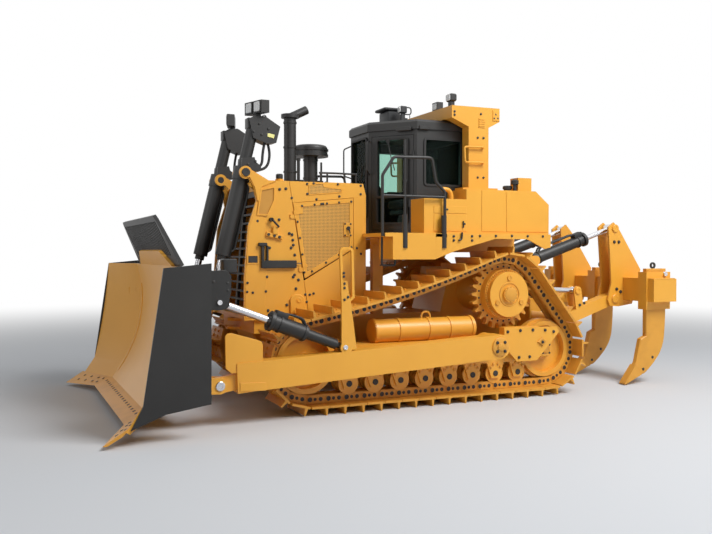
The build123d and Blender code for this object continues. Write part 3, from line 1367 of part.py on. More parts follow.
ripper_tilt_base = (RIPPER_TILT_BASE_X, RIPPER_Y, RIPPER_TILT_BASE_Z)
ripper_tilt_eye = (RIPPER_TILT_EYE_X, RIPPER_Y, RIPPER_TILT_EYE_Z)
with BuildPart() as ripper_tilt_barrels:
    cross_pin(RIPPER_TILT_BASE_X, RIPPER_TILT_BASE_Z, 66, RIPPER_Y - 75, RIPPER_Y + 75)
    rod_line(along(ripper_tilt_base, ripper_tilt_eye, 40), along(ripper_tilt_base, ripper_tilt_eye, 1020), 82)
    rod_line(
        along(ripper_tilt_base, ripper_tilt_eye, 200),
        along(ripper_tilt_base, ripper_tilt_eye, 1030),
        38 + SEAT_GAP,
        mode=Mode.SUBTRACT,
    )
    cross_pin(
        RIPPER_TILT_BASE_X,
        RIPPER_TILT_BASE_Z,
        BASE_PIN_RADIUS + SEAT_GAP,
        RIPPER_Y - 75,
        RIPPER_Y + 75,
        mode=Mode.SUBTRACT,
    )
    both_sides()

with BuildPart() as ripper_tilt_rods:
    rod_line(along(ripper_tilt_base, ripper_tilt_eye, 620), ripper_tilt_eye, 38)
    cross_pin(RIPPER_TILT_EYE_X, RIPPER_TILT_EYE_Z, 66, RIPPER_Y - 75, RIPPER_Y + 75)
    both_sides()

ripper_lift_base = (RIPPER_LIFT_BASE_X, RIPPER_Y, RIPPER_LIFT_BASE_Z)
ripper_lift_eye = (RIPPER_LIFT_EYE_X, RIPPER_Y, RIPPER_LIFT_EYE_Z)
with BuildPart() as ripper_lift_barrels:
    cross_pin(RIPPER_LIFT_BASE_X, RIPPER_LIFT_BASE_Z, 60, RIPPER_Y - 60, RIPPER_Y + 60)
    rod_line(along(ripper_lift_base, ripper_lift_eye, 40), along(ripper_lift_base, ripper_lift_eye, 755), 72)
    rod_line(along(ripper_lift_base, ripper_lift_eye, 750), along(ripper_lift_base, ripper_lift_eye, 790), 52)
    rod_line(
        along(ripper_lift_base, ripper_lift_eye, 90),
        along(ripper_lift_base, ripper_lift_eye, 800),
        35 + SEAT_GAP,
        mode=Mode.SUBTRACT,
    )
    cross_pin(
        RIPPER_LIFT_BASE_X,
        RIPPER_LIFT_BASE_Z,
        BASE_PIN_RADIUS + SEAT_GAP,
        RIPPER_Y - 60,
        RIPPER_Y + 60,
        mode=Mode.SUBTRACT,
    )
    both_sides()

with BuildPart() as ripper_lift_rods:
    rod_line(along(ripper_lift_base, ripper_lift_eye, 480), ripper_lift_eye, 35)
    cross_pin(RIPPER_LIFT_EYE_X, RIPPER_LIFT_EYE_Z, 58, RIPPER_Y - 52, RIPPER_Y + 52)
    both_sides()

NODES = {
    "main_frame": main_frame,
    "ripper_mounts": ripper_mounts,
    "ripper_forks": ripper_forks,
    "engine_block": engine_block,
    "radiator_guard": radiator_guard,
    "radiator_grille": radiator_grille,
    "engine_enclosure": engine_enclosure,
    "engine_door_left": engine_door_left,
    "engine_door_right": engine_door_right,
    "exhaust_stack": exhaust_stack,
    "precleaner": precleaner,
    "fenders": fenders,
    "cab_shell": cab_shell,
    "cab_roof": cab_roof,
    "cab_glass": cab_glass,
    "cab_door_left": cab_door_left,
    "cab_door_right": cab_door_right,
    "door_glass_left": door_glass_left,
    "door_glass_right": door_glass_right,
    "operator_seat": operator_seat,
    "control_console": control_console,
    "rops_frame": rops_frame,
    "side_tanks": side_tanks,
    "fuel_tank": fuel_tank,
    "handrails": handrails,
    "work_lamps": work_lamps,
    "roller_frames": roller_frames,
    "track_rollers": track_rollers,
    "idlers": idlers,
    "sprockets": sprockets,
    "final_drives": final_drives,
    "track_left": track_left,
    "track_right": track_right,
    "push_arms": push_arms,
    "moldboard": moldboard,
    "lift_lugs": lift_lugs,
    "cutting_edges": cutting_edges,
    "blade_side_plates": blade_side_plates,
    "rock_guard": rock_guard,
    "lift_barrels": lift_barrels,
    "lift_rod_left": lift_rod_left,
    "lift_rod_right": lift_rod_right,
    "tilt_barrels": tilt_barrels,
    "tilt_rods": tilt_rods,
    "ripper_link": ripper_link,
    "ripper_pins": ripper_pins,
    "ripper_beam": ripper_beam,
    "ripper_shanks": ripper_shanks,
    "ripper_points": ripper_points,
    "ripper_tilt_barrels": ripper_tilt_barrels,
    "ripper_tilt_rods": ripper_tilt_rods,
    "ripper_lift_barrels": ripper_lift_barrels,
    "ripper_lift_rods": ripper_lift_rods,
}

os.makedirs("parts", exist_ok=True)
for label, builder in NODES.items():
    builder.part.label = label
    export_step(builder.part, f"parts/{label}.step")
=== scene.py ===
"""Looks for a crawler bulldozer with a semi-U blade and a three-shank ripper.

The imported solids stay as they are. Each gets its finish, and small pieces such as
bolts, hoses, lamps and seals are made here and ride on the body they are fixed to.
Everything is in metres: X forward, Y to the machine's left, Z up.
"""

import json
import logging
import math
from dataclasses import dataclass
from enum import Enum

import bpy
import numpy as np
from mathutils import Matrix, Vector


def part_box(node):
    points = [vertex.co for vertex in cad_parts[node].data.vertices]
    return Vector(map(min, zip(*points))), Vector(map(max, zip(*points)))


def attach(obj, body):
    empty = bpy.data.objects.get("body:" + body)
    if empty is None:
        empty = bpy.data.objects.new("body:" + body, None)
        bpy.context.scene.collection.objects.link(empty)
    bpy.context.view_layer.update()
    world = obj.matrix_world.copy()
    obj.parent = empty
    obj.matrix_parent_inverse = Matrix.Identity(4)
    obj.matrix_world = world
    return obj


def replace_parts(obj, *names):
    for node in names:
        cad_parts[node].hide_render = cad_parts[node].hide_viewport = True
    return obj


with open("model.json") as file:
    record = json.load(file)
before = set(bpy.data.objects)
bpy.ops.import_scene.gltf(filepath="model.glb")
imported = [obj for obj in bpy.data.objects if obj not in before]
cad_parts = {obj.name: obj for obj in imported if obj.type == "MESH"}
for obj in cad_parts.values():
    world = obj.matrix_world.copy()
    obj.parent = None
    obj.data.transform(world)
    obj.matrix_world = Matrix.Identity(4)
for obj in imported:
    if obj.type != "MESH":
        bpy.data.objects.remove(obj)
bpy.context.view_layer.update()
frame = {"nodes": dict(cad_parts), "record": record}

LOG = logging.getLogger("bulldozer")
AHEAD = (1, 0, 0)
BEHIND = (-1, 0, 0)
LEFT = (0, 1, 0)
RIGHT = (0, -1, 0)
UP = (0, 0, 1)
# Faces that meet at less than this are shaded as one curved surface
SMOOTH_BELOW_DEG = 35.0
# Corners or places, one point a row
Points = tuple | list | np.ndarray


class Body(Enum):
    """The moving bodies that pieces ride on."""

    MACHINE = "machine"
    PUSH_ARMS = "push_arms"
    BLADE = "blade"
    LIFT_BARRELS = "lift_barrels"
    TILT_BARRELS = "tilt_barrels"
    RIPPER_LINK = "ripper_link"
    RIPPER_BEAM = "ripper_beam"
    RIPPER_TILT_BARRELS = "ripper_tilt_barrels"
    RIPPER_LIFT_BARRELS = "ripper_lift_barrels"
    CAB_DOOR_LEFT = "cab_door_left"
    CAB_DOOR_RIGHT = "cab_door_right"
    ENGINE_DOOR_LEFT = "engine_door_left"
    ENGINE_DOOR_RIGHT = "engine_door_right"


class Slot(Enum):
    """The record's finishes."""

    YELLOW = "yellow_paint"
    BLACK = "black_paint"
    GLASS = "glass"
    CHROME = "chrome"
    TRACK = "track_steel"
    CLOTH = "seat_cloth"
    PLASTIC = "plastic"
    IRON = "cast_iron"


@dataclass
class Shape:
    """Loose geometry: vertices as one array and faces as arrays of equal-sided rows."""

    vertices: np.ndarray
    faces: list[np.ndarray]


def joined(shapes: list[Shape] | tuple[Shape, ...]) -> Shape:
    """Puts shapes into one, with each shape's faces shifted by the vertices before it.

    Args:
        shapes: the shapes to join.

    Returns:
        One shape with all vertices and faces.
    """
    counts = np.cumsum([0] + [len(shape.vertices) for shape in shapes])
    faces = [rows + start for shape, start in zip(shapes, counts) for rows in shape.faces]
    return Shape(np.concatenate([shape.vertices for shape in shapes]), faces)


def grid(points: np.ndarray, around: bool = True, along: bool = False) -> Shape:
    """A surface through a grid of points, with a quad between each four neighbours.

    Args:
        points: array of rows x columns x 3.
        around: whether the last column joins the first.
        along: whether the last row joins the first.

    Returns:
        The surface as a shape, its outside to the right of rows crossed with columns.
    """
    rows, columns = points.shape[:2]
    index = np.arange(rows * columns).reshape(rows, columns)
    if around:
        index = np.concatenate([index, index[:, :1]], axis=1)
    if along:
        index = np.concatenate([index, index[:1]], axis=0)
    corners = (index[:-1, :-1], index[:-1, 1:], index[1:, 1:], index[1:, :-1])
    return Shape(points.reshape(-1, 3), [np.stack([c.ravel() for c in corners], axis=1)])


def capped(wall: Shape, sides: int, poles: Points) -> Shape:
    """Closes a tube's two open ends, each with a fan of triangles to a pole.

    Args:
        wall: the tube, made by grid.
        sides: points in each of its rows.
        poles: the fans' middles, the first row's and the last row's.

    Returns:
        The closed shape.
    """
    count = len(wall.vertices)
    first = np.arange(sides)
    last = first + count - sides
    fans = [
        np.stack([np.roll(first, -1), first, np.full(sides, count)], axis=1),
        np.stack([last, np.roll(last, -1), np.full(sides, count + 1)], axis=1),
    ]
    return Shape(np.concatenate([wall.vertices, np.array(poles, float)]), wall.faces + fans)


def turned(radii: list[float], heights: list[float], sides: int = 24, twist: float = 0.0) -> Shape:
    """A closed body of revolution about Z: point = (r cos a, r sin a, h) for each profile row.

    Args:
        radii: the profile's radii from the bottom up.
        heights: the profile's heights.
        sides: facets around.
        twist: angle of the first facet in radians.

    Returns:
        The turned shape with a flat fan at each end.
    """
    angles = twist + np.arange(sides) * 2 * math.pi / sides
    r = np.asarray(radii, float)[:, None]
    h = np.asarray(heights, float)[:, None]
    points = np.stack([r * np.cos(angles), r * np.sin(angles), h + 0 * angles], axis=2)
    return capped(grid(points), sides, [[0, 0, heights[0]], [0, 0, heights[-1]]])


def ring(radius: float, section: Points, sides: int = 32) -> Shape:
    """A closed ring about Z whose section is a loop of (outward, up) offsets from its radius.

    Args:
        radius: the ring's radius in metres.
        section: the loop of the section's corners.
        sides: facets around.

    Returns:
        The ring as a closed shape.
    """
    angles = np.arange(sides) * 2 * math.pi / sides
    loop = np.asarray(section, float)
    r = radius + loop[:, :1]
    points = np.stack([r * np.cos(angles), r * np.sin(angles), loop[:, 1:] + 0 * angles], axis=2)
    return grid(points, along=True)


def hoop(radius: float, reach: tuple, half_width: float, sides: int) -> Shape:
    """A flat band about Z.

    Args:
        radius: that the reach is measured from.
        reach: how far outwards the band's inside and outside lie.
        half_width: half its width along Z.
        sides: facets around.

    Returns:
        The band as a closed shape.
    """
    inside, outside = reach
    w = half_width
    return ring(radius, [(inside, -w), (outside, -w), (outside, w), (inside, w)], sides)


def inset(outline: np.ndarray, distance: float) -> np.ndarray:
    """A loop moved inwards: each corner slides along the bisector of its two edges.

    Args:
        outline: anticlockwise loop of (x, y) corners.
        distance: how far each edge moves in.

    Returns:
        The moved loop, with as many corners.
    """
    after = np.roll(outline, -1, axis=0) - outline
    after /= np.linalg.norm(after, axis=1, keepdims=True)
    before = np.roll(after, 1, axis=0)
    inward_after = np.stack([-after[:, 1], after[:, 0]], axis=1)
    inward_before = np.stack([-before[:, 1], before[:, 0]], axis=1)
    both = inward_after + inward_before
    scale = 1 + np.sum(inward_after * inward_before, axis=1, keepdims=True)
    return outline + both / scale * distance


def plate(outline: np.ndarray, thickness: float, edge: float = 0.0) -> Shape:
    """A flat plate from Z = 0 up: the loop, raised, with its rims drawn in by the edge's width.

    Args:
        outline: anticlockwise loop of (x, y) corners.
        thickness: the plate's thickness.
        edge: width of the small chamfer round both faces.

    Returns:
        The plate as a closed shape.
    """
    outline = np.asarray(outline, float)
    if edge:
        loops = [inset(outline, edge), outline, outline, inset(outline, edge)]
        levels = [0, edge, thickness - edge, thickness]
    else:
        loops = [outline, outline]
        levels = [0, thickness]
    points = np.stack([np.column_stack([loop, np.full(len(loop), z)]) for loop, z in zip(loops, levels)])
    wall = grid(points)
    bottom = np.arange(len(outline))[::-1][None, :]
    top = np.arange(len(outline))[None, :] + len(outline) * (len(loops) - 1)
    return Shape(wall.vertices, wall.faces + [bottom, top])


def rounded_rectangle(width: float, height: float, radius: float, steps: int = 4) -> np.ndarray:
    """A rectangle's loop whose corners are quarter circles.

    Args:
        width: size along x.
        height: size along y.
        radius: radius of the corners.
        steps: points on each corner.

    Returns:
        The anticlockwise loop about the origin.
    """
    quarter = np.linspace(0, math.pi / 2, steps)
    corner = np.array([[1, 1], [-1, 1], [-1, -1], [1, -1]], float)
    centre = corner * [width / 2 - radius, height / 2 - radius]
    angles = quarter[None, :] + np.arange(4)[:, None] * math.pi / 2
    arc = np.stack([np.cos(angles), np.sin(angles)], axis=2) * radius
    return (centre[:, None, :] + arc).reshape(-1, 2)


def rounded_path(corners: Points, radius: float, steps: int = 5) -> np.ndarray:
    """A polyline whose corners are parabolic bends: each starts and ends a radius from its corner.

    Args:
        corners: the corner points.
        radius: distance from a corner at which its bend starts.
        steps: points on each bend.

    Returns:
        The path's points.
    """
    p = np.asarray(corners, float)
    back = p[:-2] - p[1:-1]
    on = p[2:] - p[1:-1]
    reach_back = np.minimum(radius, np.linalg.norm(back, axis=1) * 0.49)[:, None]
    reach_on = np.minimum(radius, np.linalg.norm(on, axis=1) * 0.49)[:, None]
    start = p[1:-1] + back / np.linalg.norm(back, axis=1, keepdims=True) * reach_back
    end = p[1:-1] + on / np.linalg.norm(on, axis=1, keepdims=True) * reach_on
    t = np.linspace(0, 1, steps)[None, :, None]
    bends = (1 - t) ** 2 * start[:, None] + 2 * t * (1 - t) * p[1:-1, None] + t**2 * end[:, None]
    return np.concatenate([p[:1], bends.reshape(-1, p.shape[1]), p[-1:]])


def swept(path: Points, section: np.ndarray | float, sides: int = 10) -> Shape:
    """A tube or bar along a path: the section's x runs along one normal and its y along the other.

    The first normal is the tangent crossed with the direction in which the path spreads
    least, so a flat bend doesn't twist.

    Args:
        path: the points of the centreline.
        section: a loop of (x, y) corners, or a radius for a round section.
        sides: facets around a round section.

    Returns:
        The swept shape with closed ends.
    """
    path = np.asarray(path, float)
    if np.isscalar(section):
        angles = np.arange(sides) * 2 * math.pi / sides
        section = np.stack([np.cos(angles), np.sin(angles)], axis=1) * section
    tangent = np.gradient(path, axis=0)
    tangent /= np.linalg.norm(tangent, axis=1, keepdims=True)
    spread = np.linalg.svd(path - path.mean(axis=0))[2][-1]
    first = np.cross(tangent, spread)
    first /= np.linalg.norm(first, axis=1, keepdims=True)
    second = np.cross(tangent, first)
    points = path[:, None] + section[None, :, :1] * first[:, None] + section[None, :, 1:] * second[:, None]
    wall = grid(points)
    count = section.shape[0]
    bottom = np.arange(count)[::-1][None, :]
    top = np.arange(count)[None, :] + count * (len(path) - 1)
    return Shape(wall.vertices, wall.faces + [bottom, top])


def axes(z_axis: tuple, x_hint: tuple = UP) -> np.ndarray:
    """Three unit axes as rows: z along the given direction, x as near the hint as it can be.

    Args:
        z_axis: the direction of the third axis.
        x_hint: a direction for the first axis, not along the third.

    Returns:
        A 3 x 3 array with the axes as rows.
    """
    z = np.asarray(z_axis, float) / np.linalg.norm(z_axis)
    hint = np.asarray(x_hint, float)
    if abs(hint @ z) > 0.99 * np.linalg.norm(hint):
        hint = np.array([1.0, 0.0, 0.0])
    x = hint - (hint @ z) * z
    x /= np.linalg.norm(x)
    return np.stack([x, np.cross(z, x), z])


def placed(shape: Shape, origin: tuple, z_axis: tuple, x_hint: tuple = UP) -> Shape:
    """Moves a shape: point = origin + its coordinates along the three axes."""
    return Shape(shape.vertices @ axes(z_axis, x_hint) + np.asarray(origin, float), shape.faces)


def copied(shape: Shape, points: np.ndarray) -> Shape:
    """Lays a shape's faces over each of several sets of its vertices.

    Args:
        shape: the shape to copy.
        points: array of copies x vertices x 3.

    Returns:
        All copies as one shape.
    """
    starts = np.arange(len(points)) * len(shape.vertices)
    faces = [(rows[None] + starts[:, None, None]).reshape(-1, rows.shape[1]) for rows in shape.faces]
    return Shape(points.reshape(-1, 3), faces)


def scattered(shape: Shape, origins: Points, z_axis: tuple, x_hint: tuple = UP) -> Shape:
    """Copies a shape to each origin, all turned the same way.

    Args:
        shape: the shape to copy.
        origins: array of places.
        z_axis: direction of the copies' own Z.
        x_hint: direction of the copies' own X.

    Returns:
        All copies as one shape.
    """
    origins = np.asarray(origins, float).reshape(-1, 1, 3)
    return copied(shape, origins + shape.vertices @ axes(z_axis, x_hint))


def mirrored(shape: Shape) -> Shape:
    """The shape on the machine's other side, with its faces turned back outwards."""
    return Shape(shape.vertices * [1, -1, 1], [rows[:, ::-1] for rows in shape.faces])


def both_sides(shape: Shape) -> Shape:
    """The shape and its mirror image in one."""
    return joined([shape, mirrored(shape)])


def circle_points(centre: tuple, radius: float, count: int, phase: float = 0.0) -> np.ndarray:
    """Points round a circle in a side plane: centre + r (cos a, 0, sin a).

    Args:
        centre: the circle's middle.
        radius: of the circle.
        count: how many points.
        phase: angle of the first in radians.

    Returns:
        Array of points.
    """
    angles = phase + np.arange(count) * 2 * math.pi / count
    around = np.stack([np.cos(angles), 0 * angles, np.sin(angles)], axis=1)
    return np.asarray(centre, float) + radius * around


def bolt(across: float) -> Shape:
    """A hexagon bolt head on its washer.

    Args:
        across: the head's width in metres.

    Returns:
        The bolt standing on Z = 0.
    """
    r = across / 2
    washer = turned([r * 1.25, r * 1.25], [0, r * 0.25], sides=12)
    head = turned([r * 1.1, r * 1.1, r * 0.85], [r * 0.25, r * 0.8, r * 0.95], sides=6)
    return joined([washer, head])


def dot(radius: float, depth: float = 0.003) -> Shape:
    """A flush round fastener or bore seen end on: a shallow disc with a drawn-in rim."""
    return turned([radius, radius, radius * 0.8], [0, depth * 0.6, depth], sides=10)


def cap(radius: float, height: float, sides: int = 28) -> Shape:
    """A pin's end cap: a disc with a chamfered rim and a shallow dish in the middle.

    Args:
        radius: of the cap.
        height: how far it stands out.
        sides: facets around.

    Returns:
        The cap standing on Z = 0.
    """
    radii = [radius, radius, radius * 0.9, radius * 0.5, radius * 0.45]
    heights = [0, height * 0.75, height, height, height * 0.8]
    return turned(radii, heights, sides)


def slab(x_span: tuple, y_span: tuple, z_span: tuple, edge: float = 0.006) -> Shape:
    """A block with small chamfers round its top and bottom faces, between limits on each axis.

    Args:
        x_span: low and high X.
        y_span: low and high Y.
        z_span: low and high Z.
        edge: width of the chamfers.

    Returns:
        The block in the row frame.
    """
    width, height = x_span[1] - x_span[0], y_span[1] - y_span[0]
    flat = plate(rounded_rectangle(width, height, min(width, height) * 0.12, 3), z_span[1] - z_span[0], edge)
    centre = np.array([(x_span[0] + x_span[1]) / 2, (y_span[0] + y_span[1]) / 2, z_span[0]])
    return Shape(flat.vertices + centre, flat.faces)


def drawn_on_side(outline: Points) -> np.ndarray:
    """Turns side-face corners into a loop as it is seen from the left.

    Args:
        outline: (X, Z) corners, in either order.

    Returns:
        The anticlockwise loop of (-X, Z) corners.
    """
    corners = np.asarray(outline, float) * [-1, 1]
    following = np.roll(corners, -1, axis=0)
    area = np.sum(corners[:, 0] * following[:, 1] - following[:, 0] * corners[:, 1])
    return corners if area > 0 else corners[::-1]


def stood_on_side(flat: Shape, y: float) -> Shape:
    """Stands a flat shape drawn in (-X, Z) on a left-hand face: (x, y, z) goes to (-x, y0 + z, y)."""
    v = flat.vertices
    return Shape(np.stack([-v[:, 0], y + v[:, 2], v[:, 1]], axis=1), flat.faces)


def side_panel(outline: Points, y: float, thickness: float, edge: float = 0.004) -> Shape:
    """A flat panel on a left-hand side face: its outline is given as (X, Z) corners.

    Args:
        outline: the corners, in either order.
        y: where the panel's back lies.
        thickness: how far it stands out to the left.
        edge: width of its chamfer.

    Returns:
        The panel in the row frame.
    """
    return stood_on_side(plate(drawn_on_side(outline), thickness, edge), y)


def frame_of(loop: np.ndarray, width: float, thickness: float) -> Shape:
    """A raised frame: the loop and its inset, each at two levels, joined into a closed band.

    Args:
        loop: anticlockwise loop of (x, y) corners, the frame's outer edge.
        width: how wide the frame is, inwards.
        thickness: how far it stands up.

    Returns:
        The frame standing on Z = 0.
    """
    inner = inset(loop, width)
    rows = ((loop, 0.0), (loop, thickness), (inner, thickness), (inner, 0.0))
    points = np.stack([np.column_stack([corners, np.full(len(corners), z)]) for corners, z in rows])
    return grid(points, along=True)


def rim_panel(outline: Points, width: float, y: float, thickness: float) -> Shape:
    """A raised frame on a left-hand side face, from its outer (X, Z) corners.

    Args:
        outline: the outer corners, in either order.
        width: how wide the frame is, inwards.
        y: where its back lies.
        thickness: how far it stands out.

    Returns:
        The frame in the row frame.
    """
    return stood_on_side(frame_of(drawn_on_side(outline), width, thickness), y)


def studded(head: Shape, spots: Points, y: float) -> Shape:
    """Copies a fastener to places on a left-hand side face.

    Args:
        head: the fastener, standing on Z = 0.
        spots: (X, Z) places.
        y: where the face lies.

    Returns:
        All copies as one shape.
    """
    return scattered(head, [(x, y, z) for x, z in spots], LEFT)


def linear(colour: str) -> tuple[float, float, float, float]:
    """Turns an sRGB hex colour into linear light.

    Args:
        colour: such as "#f0b040".

    Returns:
        Red, green, blue and alpha 1.
    """
    values = np.array([int(colour[i : i + 2], 16) for i in (1, 3, 5)]) / 255
    out = np.where(values <= 0.04045, values / 12.92, ((values + 0.055) / 1.055) ** 2.4)
    return (*out.tolist(), 1.0)


def add_node(tree: bpy.types.NodeTree, kind: str, inputs: dict | None = None, **settings) -> bpy.types.Node:
    """Adds a shader node, sets its properties and fills or links its inputs.

    Args:
        tree: the node tree.
        kind: the node's type.
        inputs: values or sockets by the input's name or number.
        **settings: properties of the node.

    Returns:
        The new node.
    """
    node = tree.nodes.new(kind)
    for name, value in settings.items():
        setattr(node, name, value)
    for key, value in (inputs or {}).items():
        if isinstance(value, bpy.types.NodeSocket):
            tree.links.new(value, node.inputs[key])
        else:
            node.inputs[key].default_value = value
    return node


def blank_material(name: str) -> bpy.types.Material:
    """Makes a material whose node tree is empty.

    Args:
        name: the material's name.

    Returns:
        The new material.
    """
    made = bpy.data.materials.new(name)
    made.use_nodes = True
    made.node_tree.nodes.clear()
    return made


@dataclass(frozen=True)
class Finish:
    """What every finish has: its material's name, and a way to make that material once.

    Attributes:
        name: what the real material is called.
    """

    name: str

    def material(self) -> bpy.types.Material:
        """The Blender material, made at the first call and then shared.

        Returns:
            The shared material.
        """
        made = bpy.data.materials.get(self.name)
        if not made:
            made = blank_material(self.name)
            surface = self.surface(made.node_tree)
            add_node(made.node_tree, "ShaderNodeOutputMaterial", {"Surface": surface})
        return made

    def surface(self, tree: bpy.types.NodeTree) -> bpy.types.NodeSocket:
        """Makes the shader's nodes; each kind of finish has its own."""
        raise NotImplementedError


@dataclass(frozen=True)
class MottledFinish(Finish):
    """A plain finish: one base colour that a coarse pattern shifts a little.

    Attributes:
        colour: sRGB hex of the clean surface.
        shade: sRGB hex that the pattern mixes in, such as dust or bare metal.
        mottle_mm: size of the pattern's patches.
        mottle_share: how strongly the shade is mixed in at most.
        roughness: of the shader.
        metallic: of the shader.
        grain_mm: size of the surface's bumps, 0 for none.
        grain_depth_mm: height of the bumps.
        coat: weight of a clear coat.
        ior: of the shader, where it isn't a metal.
        mottle_range: the noise's values at which the shade starts and is full.
    """

    colour: str
    shade: str
    mottle_mm: float = 400.0
    mottle_share: float = 0.15
    roughness: float = 0.4
    metallic: float = 0.0
    grain_mm: float = 0.0
    grain_depth_mm: float = 0.0
    coat: float = 0.0
    ior: float = 1.5
    mottle_range: tuple = (0.42, 0.72)

    def surface(self, tree: bpy.types.NodeTree) -> bpy.types.NodeSocket:
        """Mixes the two colours by a noise, and roughens the surface by a finer one.

        Args:
            tree: the material's node tree.

        Returns:
            The shader's output.
        """
        place = add_node(tree, "ShaderNodeTexCoord").outputs["Object"]
        patches = self.noise(tree, place, self.mottle_mm, 4.0)
        low, high = self.mottle_range
        levels = {"Value": patches, "From Min": low, "From Max": high, "To Max": self.mottle_share}
        share = add_node(tree, "ShaderNodeMapRange", levels)
        colours = {0: share.outputs[0], 6: linear(self.colour), 7: linear(self.shade)}
        mixed = add_node(tree, "ShaderNodeMix", colours, data_type="RGBA")
        settings = {
            "Base Color": mixed.outputs[2],
            "Roughness": self.roughness,
            "Metallic": self.metallic,
            "Coat Weight": self.coat,
            "Coat Roughness": 0.15,
        }
        if not self.metallic:
            settings["IOR"] = self.ior
        if self.grain_mm:
            grain = self.noise(tree, place, self.grain_mm, 2.0)
            heights = {"Height": grain, "Distance": self.grain_depth_mm / 1000, "Strength": 1.0}
            settings["Normal"] = add_node(tree, "ShaderNodeBump", heights).outputs[0]
        return add_node(tree, "ShaderNodeBsdfPrincipled", settings).outputs[0]

    def noise(
        self, tree: bpy.types.NodeTree, place: bpy.types.NodeSocket, size_mm: float, detail: float
    ) -> bpy.types.NodeSocket:
        """A noise pattern whose scale comes from the real size of its patches.

        Args:
            tree: the material's node tree.
            place: the coordinates it is laid on, in metres.
            size_mm: size of its patches.
            detail: how many finer layers it has.

        Returns:
            The noise's value.
        """
        inputs = {"Vector": place, "Scale": 1000 / size_mm, "Detail": detail}
        return add_node(tree, "ShaderNodeTexNoise", inputs).outputs[0]


@dataclass(frozen=True)
class ScreenFinish(Finish):
    """Perforated sheet: enamel with rows of round holes, each filled with painted shade of the dark space
    behind.

    Attributes:
        colour: sRGB hex of the sheet.
        hole_shade: sRGB hex of the painted shade seen through the holes.
        pitch_mm: distance from hole to hole.
        hole_share: the holes' radius as a share of the pitch.
        hole_blur: how far on either side of that radius the two colours blend.
    """

    name: str = "perforated_sheet"
    colour: str = "#e2a84a"
    hole_shade: str = "#4a3a20"
    pitch_mm: float = 18.0
    hole_share: float = 0.30
    hole_blur: float = 0.03

    def surface(self, tree: bpy.types.NodeTree) -> bpy.types.NodeSocket:
        """Lays a hole wherever a point is near the middle of its square cell.

        Args:
            tree: the material's node tree.

        Returns:
            The shader's output.
        """
        rate = 1000 / self.pitch_mm
        away = add_node(tree, "ShaderNodeTexCoord").outputs["Object"]
        for operation, inputs in (
            ("MULTIPLY", {1: (rate, 0.0, rate)}),
            ("FRACTION", {}),
            ("SUBTRACT", {1: (0.5, 0.0, 0.5)}),
        ):
            made = add_node(tree, "ShaderNodeVectorMath", {0: away, **inputs}, operation=operation)
            away = made.outputs[0]
        length = add_node(tree, "ShaderNodeVectorMath", {0: away}, operation="LENGTH").outputs["Value"]
        rim = {"From Min": self.hole_share - self.hole_blur, "From Max": self.hole_share + self.hole_blur}
        sheet = add_node(tree, "ShaderNodeMapRange", {"Value": length, **rim})
        # The holes take the painted shade colour, the sheet its enamel
        colours = {0: sheet.outputs[0], 6: linear(self.hole_shade), 7: linear(self.colour)}
        mixed = add_node(tree, "ShaderNodeMix", colours, data_type="RGBA")
        settings = {"Base Color": mixed.outputs[2], "Roughness": 0.45, "IOR": 1.5}
        return add_node(tree, "ShaderNodeBsdfPrincipled", settings).outputs[0]


@dataclass(frozen=True)
class GlassFinish(Finish):
    """Tinted safety glass: mostly clear, darker and greener where it is seen at a slant.

    Attributes:
        tint: sRGB hex that light takes on as it passes.
        skin: sRGB hex of the glossy surface.
        clear_share: how much passes where the glass is seen straight on.
    """

    name: str = "tinted_safety_glass"
    tint: str = "#e6f7f1"
    skin: str = "#2c3431"
    clear_share: float = 0.94

    def surface(self, tree: bpy.types.NodeTree) -> bpy.types.NodeSocket:
        """Lays a glossy skin over a see-through tint, more of it at a slant.

        Args:
            tree: the material's node tree.

        Returns:
            The shader's output.
        """
        through = add_node(tree, "ShaderNodeBsdfTransparent", {"Color": linear(self.tint)})
        settings = {"Base Color": linear(self.skin), "Roughness": 0.05, "IOR": 1.5}
        skin = add_node(tree, "ShaderNodeBsdfPrincipled", settings)
        slant = add_node(tree, "ShaderNodeLayerWeight", {"Blend": 0.2})
        levels = {"Value": slant.outputs["Fresnel"], "To Min": 1 - self.clear_share, "To Max": 1.0}
        share = add_node(tree, "ShaderNodeMapRange", levels)
        layers = {0: share.outputs[0], 1: through.outputs[0], 2: skin.outputs[0]}
        return add_node(tree, "ShaderNodeMixShader", layers).outputs[0]


# Sprayed two-pack enamel: an even satin yellow with a faint orange-peel skin
YELLOW_ENAMEL = MottledFinish(
    "yellow_enamel", "#eaa93a", "#dc9a30", 700, 0.4, 0.4, grain_mm=9, grain_depth_mm=0.05, coat=0.08
)
# Powder-coated steel: deep satin black that greys a little where dust lies
BLACK_POWDER = MottledFinish(
    "black_powder_coat", "#1b1a19", "#2b2a28", 500, 0.4, 0.46, grain_mm=6, grain_depth_mm=0.06
)
# Cast steel under enamel: the same yellow, rougher and a little browner
YELLOW_CASTING = MottledFinish(
    "yellow_painted_casting", "#dd9e3a", "#c0842c", 260, 0.5, 0.46, grain_mm=12, grain_depth_mm=0.25
)
# Hard-chromed rod: bright, almost mirror
CHROME_ROD = MottledFinish("hard_chrome", "#d9d9dc", "#c4c4c8", 200, 0.3, 0.14, metallic=1.0)
# Grey cast iron, blackened: dull near-black with brown patches
DARK_IRON = MottledFinish(
    "blackened_cast_iron", "#2a2928", "#3b3733", 150, 0.5, 0.6, grain_mm=8, grain_depth_mm=0.2
)
# Woven seat cloth: matt charcoal, its weave drawn as coarse as it needs to show
SEAT_WEAVE = MottledFinish("seat_weave", "#35363a", "#44454a", 60, 0.5, 0.92, grain_mm=5, grain_depth_mm=0.5)
# Moulded ABS: dark grey with fine grain
MOULDED_ABS = MottledFinish(
    "moulded_abs", "#1f2022", "#2b2c2e", 300, 0.3, 0.5, grain_mm=3, grain_depth_mm=0.1
)
